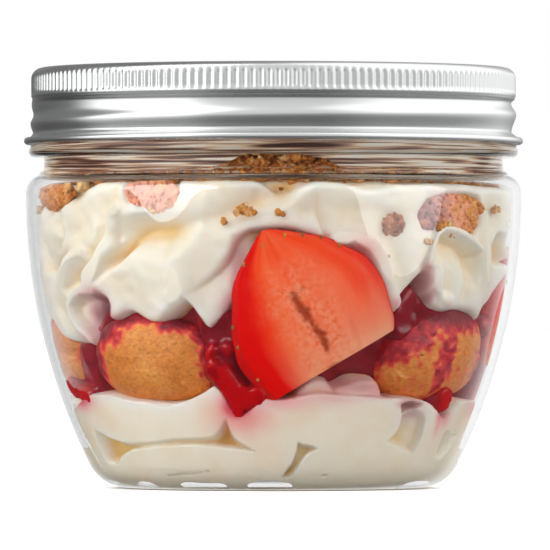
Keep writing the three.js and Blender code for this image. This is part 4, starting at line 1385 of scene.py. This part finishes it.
class DESSERT_OT_sponges(FillingPiece, bpy.types.Operator):
    """Make the chunks of sponge finger that stand against the wall"""

    bl_idname = "dessert.sponges"
    bl_label = "Sponge fingers"

    def execute(self, context):
        jar, filling, colours = self.settings(context)
        wall, material = Wall(jar), baked_sponge(colours)
        lat = np.radians(np.linspace(-88.5, 88.5, 74))[:, None]
        lon = np.radians(np.arange(150) * TURN / 150)[None, :]
        for number, (node, angle, height, long, tall, deep) in enumerate(SPONGES):
            # a ball, pushed out towards a block whose front lies flat on the wall
            x = np.cos(lat) * np.cos(lon)
            y = np.cos(lat) * np.sin(lon)
            z = np.sin(lat) * np.ones_like(lon)
            ball = np.stack((x, y, z), axis=-1)
            swell = 1 + 0.012 * wobble(ball, 0.6, number) + 0.03 * wobble(ball, 1.5, number + 9)
            power = 0.76 + 0.2 * ease(ball[..., 1:2], -0.3, 0.4)
            boxy = np.sign(ball) * np.abs(ball) ** power * swell[..., None]
            along, up = boxy[..., 0] * long / 2, boxy[..., 1] * tall / 2
            inward = deep / 2 * (1 - boxy[..., 2])
            places = np.stack((along, up, inward), axis=-1)
            rough = 0.10 * wobble(places, 0.9, number + 20)
            rough = rough + 0.16 * wobble(places, 2.6, number + 30)
            inward = 0.3 * np.log1p(np.exp((inward - 0.6 + rough) / 0.3))
            up = up + rough * np.sign(up)
            h = height + up
            a = angle + np.degrees(along / wall.inner(height))
            r = wall.seat(a, h, inward, filling, 0.8)
            rings = round_points(a, r, h)
            poles = [rings[0].mean(axis=0), rings[-1].mean(axis=0)]
            points, faces = skin_of(rings, *poles)
            # soaked in spots, with an uneven edge; along the tops the dark red is partly painted
            # shade
            stain_and_shade = np.zeros(a.shape)
            for at, at_height, wide, high, amount in SOAKED:
                gone = np.radians(apart(a, at)) * WALL_R / wide
                spot = np.exp(-(gone**2) - ((h - at_height) / high) ** 2)
                stain_and_shade = np.maximum(stain_and_shade, amount * ease(spot, 0.04, 0.9))
            stain_and_shade += 0.22 * wobble(places, 0.8, number + 40) * np.minimum(stain_and_shade, 1 - stain_and_shade) * 2
            stain_and_shade = np.append(np.clip(stain_and_shade, 0, 1).ravel(), (0, 0))
            new_piece(f"sponge_finger_{number + 1}", points, faces, material, (node,),
                      {"stain_and_shade": stain_and_shade})
        return {"FINISHED"}


# Halved strawberries: the hulled end's place, the way the tip points, then length, width, depth.
BERRIES = [
    ("strawberry_1", 14.9, 22.6, 121, 27.3, 30.6, 11.5),
    ("strawberry_2", 87.0, 22.0, 84, 22.5, 25.0, 10.5),
    ("strawberry_3", 176.0, 22.2, 61, 27.0, 28.0, 11.0),
]


class DESSERT_OT_strawberries(FillingPiece, bpy.types.Operator):
    """Make the halved strawberries with their cut face on the wall"""

    bl_idname = "dessert.strawberries"
    bl_label = "Strawberries"

    def execute(self, context):
        jar, filling, colours = self.settings(context)
        wall, flesh, seed = Wall(jar), cut_strawberry(colours), berry_seed()
        for number, (node, angle, height, lean, long, wide, deep) in enumerate(BERRIES):
            # the outline, from the hulled end, at 0, to the blunt tip, at 1
            side = -1 if lean > 90 else 1
            to_tip = 1 - 0.1 * np.linspace(1, 0.02, 28)[1:] ** 2
            t = np.concatenate((np.linspace(0, 0.9, 100), to_tip))[:, None]
            half = 0.48 * wide * np.cos(math.pi / 2 * (t - 0.28) / 0.85)
            half = half * np.sqrt(1 - np.clip((t - 0.72) / 0.28, 0, 1) ** 2)
            half = half * (1 + 0.01 * wobble(np.column_stack((t * long, t)), 3.0, number)[:, None])
            front = np.linspace(-1, 1, CUT_STEPS)
            front = np.sign(front) * np.abs(front) ** 0.85
            back = np.cos(np.linspace(0, math.pi, 50))[1:-1]
            share = np.concatenate((front, back))[None, :] * np.ones_like(t)
            across = share * half - side * (0.5 + ease(t, 0.25, 0.6) + 0.8 * ease(t, 0.8, 1))
            along = t * long * np.ones_like(share)
            is_back = (np.arange(share.shape[1]) >= CUT_STEPS)[None, :]
            round_back = deep * np.sqrt(np.clip(1 - share**2, 0, 1)) * half / (wide / 2)
            # the skin turns away from the wall at one side, and the core is a torn hollow
            turned_away = 5.0 * np.maximum(side * share - 0.78, 0) ** 1.7
            torn = wobble(np.stack((across, along), -1), 0.75, number + 5)
            pulp = wobble(np.stack((across, along * 0.7), -1), 1.6, number + 8)
            span = np.clip((t - 0.08) / 0.52, 0, 1) * np.ones_like(share)
            middle = across + side + 0.45 * wobble(np.stack((t * long, 0 * t), -1), 4.5, number + 6)
            wide_at = 0.2 + 0.62 * np.sin(math.pi * span) ** 0.7
            core = np.exp(-((np.abs(middle) / wide_at + 0.28 * torn) ** 2))
            core = core * (span > 0) * (span < 1)
            core = core * ease(span, 0, 0.1) * ease(-span, -1, -0.85) * (0.95 + 0.25 * pulp)
            halo = np.exp(-((middle / 4.4) ** 2)) * ease(-t, -0.85, -0.5)
            edge = half * (1 - np.abs(share))
            face = turned_away + 0.6 * np.clip(core, 0, 1) + halo * (0.04 * torn + 0.1 * pulp)
            face = face + 0.3 * np.exp(-edge / 0.4) - 0.1
            inward = np.where(is_back, np.maximum(round_back, face), face)
            turn = math.radians(lean)
            u = along * math.cos(turn) + across * math.sin(turn)
            v = along * math.sin(turn) - across * math.cos(turn)
            h = height + v
            a = angle + np.degrees(u / wall.inner(height))
            r = wall.seat(a, h, inward, filling, 1.2)
            rings = round_points(a, r, h)
            points, faces = skin_of(rings, rings[0].mean(axis=0), rings[-1].mean(axis=0))
            values = {
                "tip": t * np.ones_like(share),
                "across": np.where(is_back, -1.0, 0.5 - 0.5 * side * share),
                # painted shade: where the core's torn hollow is painted darker
                "core": np.clip(core, 0, 1) * ~is_back,
                "halo": np.clip(halo * (0.85 + 0.3 * pulp), 0, 1) * ~is_back,
                "skin": np.where(is_back, 1.0, np.exp(-edge / 0.45)),
            }
            values = {k: np.append((v + 0 * share).ravel(), (0, 0)) for k, v in values.items()}
            name = f"halved_strawberry_{number + 1}"
            new_piece(name, points, faces, flesh, (node,), values)
            self.seeds(name, rings, share, side, seed, number)
        return {"FINISHED"}

    def seeds(self, name, rings, share, side, material, number):
        """Seeds sunk in the skin near the edge of the cut."""
        draw = np.random.default_rng(number + 3)
        ball, tris = lump(1)
        points, faces = [], []
        # the row along the berry and the place across it, from -1 to 1
        for row, reach in ((20, 0.9), (47, 0.93), (61, 0.97), (95, 0.85), (102, 0.3), (100, -0.7),
                           (94, -0.9), (86, -0.94), (75, -0.95)):
            column = int(np.argmin(np.abs(share[row, :CUT_STEPS] - side * reach)))
            centre = rings[row, column]
            way = centre * [1, 1, 0] / np.linalg.norm(centre[:2])
            grown = ball * [0.34, 0.3, 0.52] * draw.uniform(0.85, 1.15)
            faces.append(tris + len(points) * len(ball))
            points.append(centre + grown - way * 0.12)
        new_piece(f"{name}_seeds", np.vstack(points), np.vstack(faces), material)


# ---- Crumbs


def lump(level):
    """Points and triangles of an even ball of triangles."""
    work = bmesh.new()
    bmesh.ops.create_icosphere(work, subdivisions=level, radius=1.0)
    work.verts.index_update()
    points = np.array([v.co[:] for v in work.verts])
    faces = np.array([[v.index for v in f.verts] for f in work.faces])
    work.free()
    return points, faces


def broken(count, level, seed, rough=0.2):
    """Many uneven lumps of radius about 1, as points [lump, point, xyz], and one's triangles."""
    draw = np.random.default_rng(seed)
    ball, faces = lump(level)
    stretch = draw.uniform(0.65, 1.25, (count, 1, 3))
    lumps = ball[None] * stretch * (1 + rough * draw.normal(size=(count, len(ball), 1)))
    spin = draw.normal(size=(count, 4))
    spin /= np.linalg.norm(spin, axis=1, keepdims=True)
    w, x, y, z = spin.T
    turn = np.array([
        [1 - 2 * (y * y + z * z), 2 * (x * y - z * w), 2 * (x * z + y * w)],
        [2 * (x * y + z * w), 1 - 2 * (x * x + z * z), 2 * (y * z - x * w)],
        [2 * (x * z - y * w), 2 * (y * z + x * w), 1 - 2 * (x * x + y * y)],
    ]).transpose(2, 0, 1)
    return np.einsum("nij,nkj->nki", turn, lumps), faces


def scattered(name, centres, sizes, level, seed, material, wall, film, tone):
    """One mesh of many crumbs, none of them past the wall."""
    lumps, tris = broken(len(centres), level, seed)
    points = (lumps * sizes[:, None, None] + centres[:, None, :]).reshape(-1, 3)
    points = within(points, wall, film)
    each = lumps.shape[1]
    faces = (tris[None] + np.arange(len(centres))[:, None, None] * each).reshape(-1, 3)
    values = {"tone": np.repeat(tone, each), "stain_and_shade": np.zeros(len(points))}
    new_piece(name, points, faces, material, values=values)


def within(points, wall, film):
    """Moves what is past the wall back onto it."""
    r = np.hypot(points[:, 0], points[:, 1])
    most = wall.inner(points[:, 2]) - film
    scale = np.where(r > most, most / np.maximum(r, 1e-6), 1.0)
    return points * np.column_stack((scale, scale, np.ones_like(scale)))


# The lumps of crumb behind the wall: node, angle, height, half width, half height, number of
# crumbs, the least and the most shade, how much sauce is in it at its left and at its right.
WALL_CRUMBS = [
    ("wall_crumb_1", -68.0, 53.9, 8.6, 2.6, 190, 0.25, 0.75, 0.05, 0.0),
    ("wall_crumb_2", -30.6, 53.6, 5.9, 3.1, 170, 0.75, 1.0, 0.6, 0.4),
    ("wall_crumb_3", 30.2, 48.3, 2.2, 2.2, 120, 0.0, 0.25, 0.0, 0.0),
    ("wall_crumb_4", 47.8, 50.7, 10.2, 4.1, 330, 0.4, 0.85, 1.0, 0.12),
    ("wall_crumb_5", 141.0, 50.8, 7.5, 3.6, 220, 0.4, 0.9, 0.1, 0.8),
    ("wall_crumb_6", 163.0, 49.0, 2.8, 2.5, 60, 0.1, 0.5, 0.1, 0.1),
    ("wall_crumb_7", 223.0, 53.6, 5.6, 2.8, 150, 0.5, 1.0, 0.6, 0.4),
]
# Small crumbs stuck on the cream: angle, height and radius.
STRAYS = [
    (-7.2, 51.0, 0.8), (-5.8, 50.6, 0.7), (-8.6, 50.4, 0.7), (-4.6, 50.4, 0.5), (-11.6, 48.9, 0.6),
    (-6.6, 51.7, 0.6), (1.0, 50.5, 0.6), (2.2, 50.1, 0.5), (38.6, 45.4, 0.6), (40.0, 45.2, 0.5),
    (66.6, 51.4, 0.8), (64.8, 51.2, 0.6), (27.8, 42.4, 0.5), (44.0, 48.2, 1.0), (42.6, 47.9, 0.7),
    (46.0, 48.4, 0.7), (-74.0, 51.4, 0.7), (-57.5, 55.2, 1.3), (-52.0, 55.6, 1.2),
    (-30.0, 51.2, 0.6), (-29.2, 50.6, 0.5), (183, 50.2, 0.8), (197, 50.8, 0.7), (199, 50.4, 0.5),
    (150, 46.0, 0.6), (124, 51.0, 0.8), (240, 52.0, 0.9), (263, 50.6, 0.8), (112, 50, 0.7),
]


class DESSERT_OT_wall_crumbs(FillingPiece, bpy.types.Operator):
    """Make the large crumbs caught between the cream and the wall"""

    bl_idname = "dessert.wall_crumbs"
    bl_label = "Crumbs on the wall"

    def execute(self, context):
        jar, filling, colours = self.settings(context)
        wall = Wall(jar)
        material = baked_crumb(colours, "Biscuit lump, soaked", True)
        for number, (node, angle, height, wide, tall, count, *shades) in enumerate(WALL_CRUMBS):
            draw = np.random.default_rng(number + 60)
            darkest, lightest, left, right = shades
            ball, ball_faces = lump(5)
            spot = draw.normal(size=(count, 3))
            spot /= np.linalg.norm(spot, axis=1)[:, None]
            spot[:, 1] = np.minimum(spot[:, 1], 0.3)
            sizes = (0.2 + 0.42 * draw.uniform(0, 1, count) ** 2) * (0.3 + 0.17 * tall)
            lumps, tris = broken(count, 2, number + 70, 0.14)
            # a solid lump with crumbs sunk in its face
            core = self.placed(ball, angle, height, wide, tall, wall)
            away = wobble(core, 0.55, number) + wobble(core, 1.6, number + 9)
            core = core * (1 - 0.1 * away / 44)[:, None]
            core[:, 2] += 0.1 * wobble(core, 0.7, number + 5)
            centres = self.placed(spot, angle, height, wide, tall, wall)
            each = lumps.shape[1]
            grains = (lumps * sizes[:, None, None] + centres[:, None, :]).reshape(-1, 3)
            grain_faces = (tris[None] + np.arange(count)[:, None, None] * each).reshape(-1, 3)
            points = within(np.vstack((core, grains)), wall, 0.02)
            faces = np.vstack((ball_faces, grain_faces + len(ball)))
            tone = draw.uniform(darkest, lightest, count)
            tone = np.append(0.5 * (darkest + lightest) + 0.18 * wobble(core, 0.8, 7),
                             np.repeat(tone, each))
            across = np.append(ball[:, 0], np.repeat(spot[:, 0], each))
            stain_and_shade = left + (right - left) * ease(across, -0.8, 0.5)
            stain_and_shade = np.clip(stain_and_shade + 0.12 * wobble(points, 1.2, number + 3), 0, 1)
            values = {"tone": np.clip(tone, 0, 1), "stain_and_shade": stain_and_shade}
            new_piece(f"wall_lump_{number + 1}", points, faces, material, (node,), values)
        strays = np.array(STRAYS)
        lift = wall.inner(strays[:, 1]) - mm(filling.film) - strays[:, 2] * 0.45
        centres = round_points(strays[:, 0], lift, strays[:, 1])
        draw = np.random.default_rng(filling.seed)
        scattered("stray_crumbs", centres, strays[:, 2], 3, 91, baked_crumb(colours), wall,
                  0.08, draw.uniform(0.5, 1.0, len(strays)))
        return {"FINISHED"}

    def placed(self, ball, angle, height, wide, tall, wall):
        """Points of a ball, flattened into a lump of the given half sizes behind the wall."""
        h = height + tall * ball[:, 2] * (1 + 0.1 * np.sin(5 * ball[:, 0]))
        along = wide * ball[:, 0] * (1 + 0.08 * np.sin(7 * ball[:, 2]))
        a = angle + np.degrees(along / wall.inner(h))
        return round_points(a, wall.inner(h) - 0.4 - 1.2 * (1 + ball[:, 1]), h)


# Along the neck, the angle with the height of the smear's lower edge, and with its shade.
SMEAR_FOOT = [
    (-180, 57.4), (-95, 57.3), (-80, 57), (-62, 57.1), (-50, 57.4), (-30, 57.2), (-17, 57.6),
    (-12, 59.2), (-7, 61.3), (6, 61.2), (13, 60.2), (18, 57.8), (30, 57.7), (50, 57.4),
    (75, 57.3), (95, 57.3), (180, 57.4),
]
SMEAR_SHADE = [
    (-180, 0.45), (-95, 0.6), (-78, 0.62), (-66, 0.36), (-30, 0.3), (-10, 0.26), (8, 0.22),
    (18, 0.36), (32, 0.6), (60, 0.72), (80, 0.6), (120, 0.45), (180, 0.45),
]


class DESSERT_OT_crumb_topping(FillingPiece, bpy.types.Operator):
    """Heap the fine biscuit crumbs in the neck"""

    bl_idname = "dessert.crumb_topping"
    bl_label = "Crumb topping"

    def execute(self, context):
        jar, filling, colours = self.settings(context)
        wall, material = Wall(jar), baked_crumb(colours)
        draw = np.random.default_rng(filling.seed + 5)
        angle = np.arange(420) * TURN / 420
        rows = [(8, 53.5), (30, 53.5), (37.6, 53.9), (38.6, 55), (38.6, 56.4), (38.4, 57.8),
                (38.4, 59.4), (38.4, 61), (38.0, 62.4), (36, 63), (28, 63.4), (10, 63.8)]
        rings = np.stack([round_points(angle, r, np.full(angle.shape, z)) for r, z in rows])
        bumps = wobble(rings, 1.6, filling.seed) * 0.5
        rings[..., :2] *= (1 + bumps / 38)[..., None]
        points, faces = skin_of(rings, (0, 0, rows[0][1]), (0, 0, rows[-1][1]))
        tone = 0.35 + 0.2 * wobble(points, 1.2, 4)
        new_piece("crumb_core", points, faces, material, ("crumb_topping",),
                  {"tone": tone, "stain_and_shade": np.zeros(len(points))})
        self.smear(wall, filling)
        for name, count, level, low, high, spread, seed in (
            ("coarse_crumbs", 1150, 2, 0.55, 1.25, 2.6, 21),
            ("fine_crumbs", 2200, 1, 0.25, 0.55, 1.3, 22),
        ):
            a = draw.uniform(0, TURN, count)
            z = draw.uniform(56.5, 62.8, count)
            sizes = low + (high - low) * draw.uniform(0, 1, count) ** 2
            r = wall.inner(z) - sizes * 0.9 - spread * draw.uniform(0, 1, count) ** 1.5
            tone = np.clip(draw.normal(0.55, 0.22, count), 0, 1)
            scattered(name, round_points(a, r, z), sizes, level, seed, material, wall, 0.1, tone)
        return {"FINISHED"}

    def smear(self, wall, filling):
        """The band of cream and crumbs that is smeared on the neck, with a gap in front."""
        angle = np.arange(720) * TURN / 720
        turn = apart(angle, 0)
        foot = np.interp(turn, *zip(*SMEAR_FOOT))
        foot = foot + 0.12 * wobble(round_points(angle, 10.0, 0.0), 0.9, 3)
        share = np.linspace(0, 1, 60)[:, None]
        z = foot + (63.6 - foot) * share
        r = wall.inner(z) + mm(filling.reach)
        outer = round_points(angle, r, z)
        inner = [round_points(angle, 39.6, z[-1]), round_points(angle, 39.6, z[0] + 0.3)]
        rows = np.concatenate((outer, np.stack(inner)))
        place = np.stack(np.broadcast_arrays(
            2.4 * np.sin(np.radians(turn)), 2.4 * np.cos(np.radians(turn)),
            z / 0.34 + 3 * np.maximum(z - 60.8, 0)), axis=-1)
        # level streaks, with a pale rim under the lid and a pale run at the left
        streaks = wobble(place, 1.0, 31) + 0.6 * wobble(place * [3, 3, 1.7], 1.0, 32)
        value = np.interp(turn, *zip(*SMEAR_SHADE)) + 0.14 + 0.4 * streaks
        value += 0.4 * np.exp(-(((z - 63.05) / 0.16) ** 2)) * ease(-np.abs(turn), -75, -50)
        value += 0.3 * np.exp(-(((turn + 36) / 18) ** 2) - ((z - 58.4) / 0.35) ** 2)
        value = np.clip(np.vstack((value, value[-1:], 0.4 + 0 * value[:1])), 0, 1).ravel()
        faces = grid_faces(len(rows), len(angle), looped=True)
        new_piece("neck_smear", rows.reshape(-1, 3), faces, smeared_filling(),
                  values={"smear": value})


class DESSERT_PT_panel(bpy.types.Panel):
    """Lists the pieces of the dessert jar and their settings"""

    bl_idname = "DESSERT_PT_panel"
    bl_label = "Dessert jar"
    bl_space_type = "VIEW_3D"
    bl_region_type = "UI"
    bl_category = "Dessert Jar"

    def draw(self, context):
        for group in ("dessert_jar", "dessert_lid", "dessert_filling", "dessert_colours"):
            box = self.layout.box()
            holder = getattr(context.scene, group)
            for name in holder.__annotations__:
                box.prop(holder, name)
        for piece in PIECES:
            self.layout.operator(piece.bl_idname)


GROUPS = {
    "dessert_jar": JarSizes,
    "dessert_lid": LidSizes,
    "dessert_filling": FillingSizes,
    "dessert_colours": FoodColours,
}
PIECES = (
    DESSERT_OT_stage,
    DESSERT_OT_jar,
    DESSERT_OT_lid,
    DESSERT_OT_bottom_cream,
    DESSERT_OT_top_cream,
    DESSERT_OT_sauce,
    DESSERT_OT_sponges,
    DESSERT_OT_strawberries,
    DESSERT_OT_wall_crumbs,
    DESSERT_OT_crumb_topping,
)


def register():
    for kind in (*GROUPS.values(), *PIECES, DESSERT_PT_panel):
        bpy.utils.register_class(kind)
    for name, kind in GROUPS.items():
        setattr(bpy.types.Scene, name, PointerProperty(type=kind))


def unregister():
    for name in GROUPS:
        delattr(bpy.types.Scene, name)
    for kind in reversed((*GROUPS.values(), *PIECES, DESSERT_PT_panel)):
        bpy.utils.unregister_class(kind)


def main():
    register()
    for piece in PIECES:
        group, name = piece.bl_idname.split(".")
        getattr(getattr(bpy.ops, group), name)()


if __name__ == "__main__":
    main()
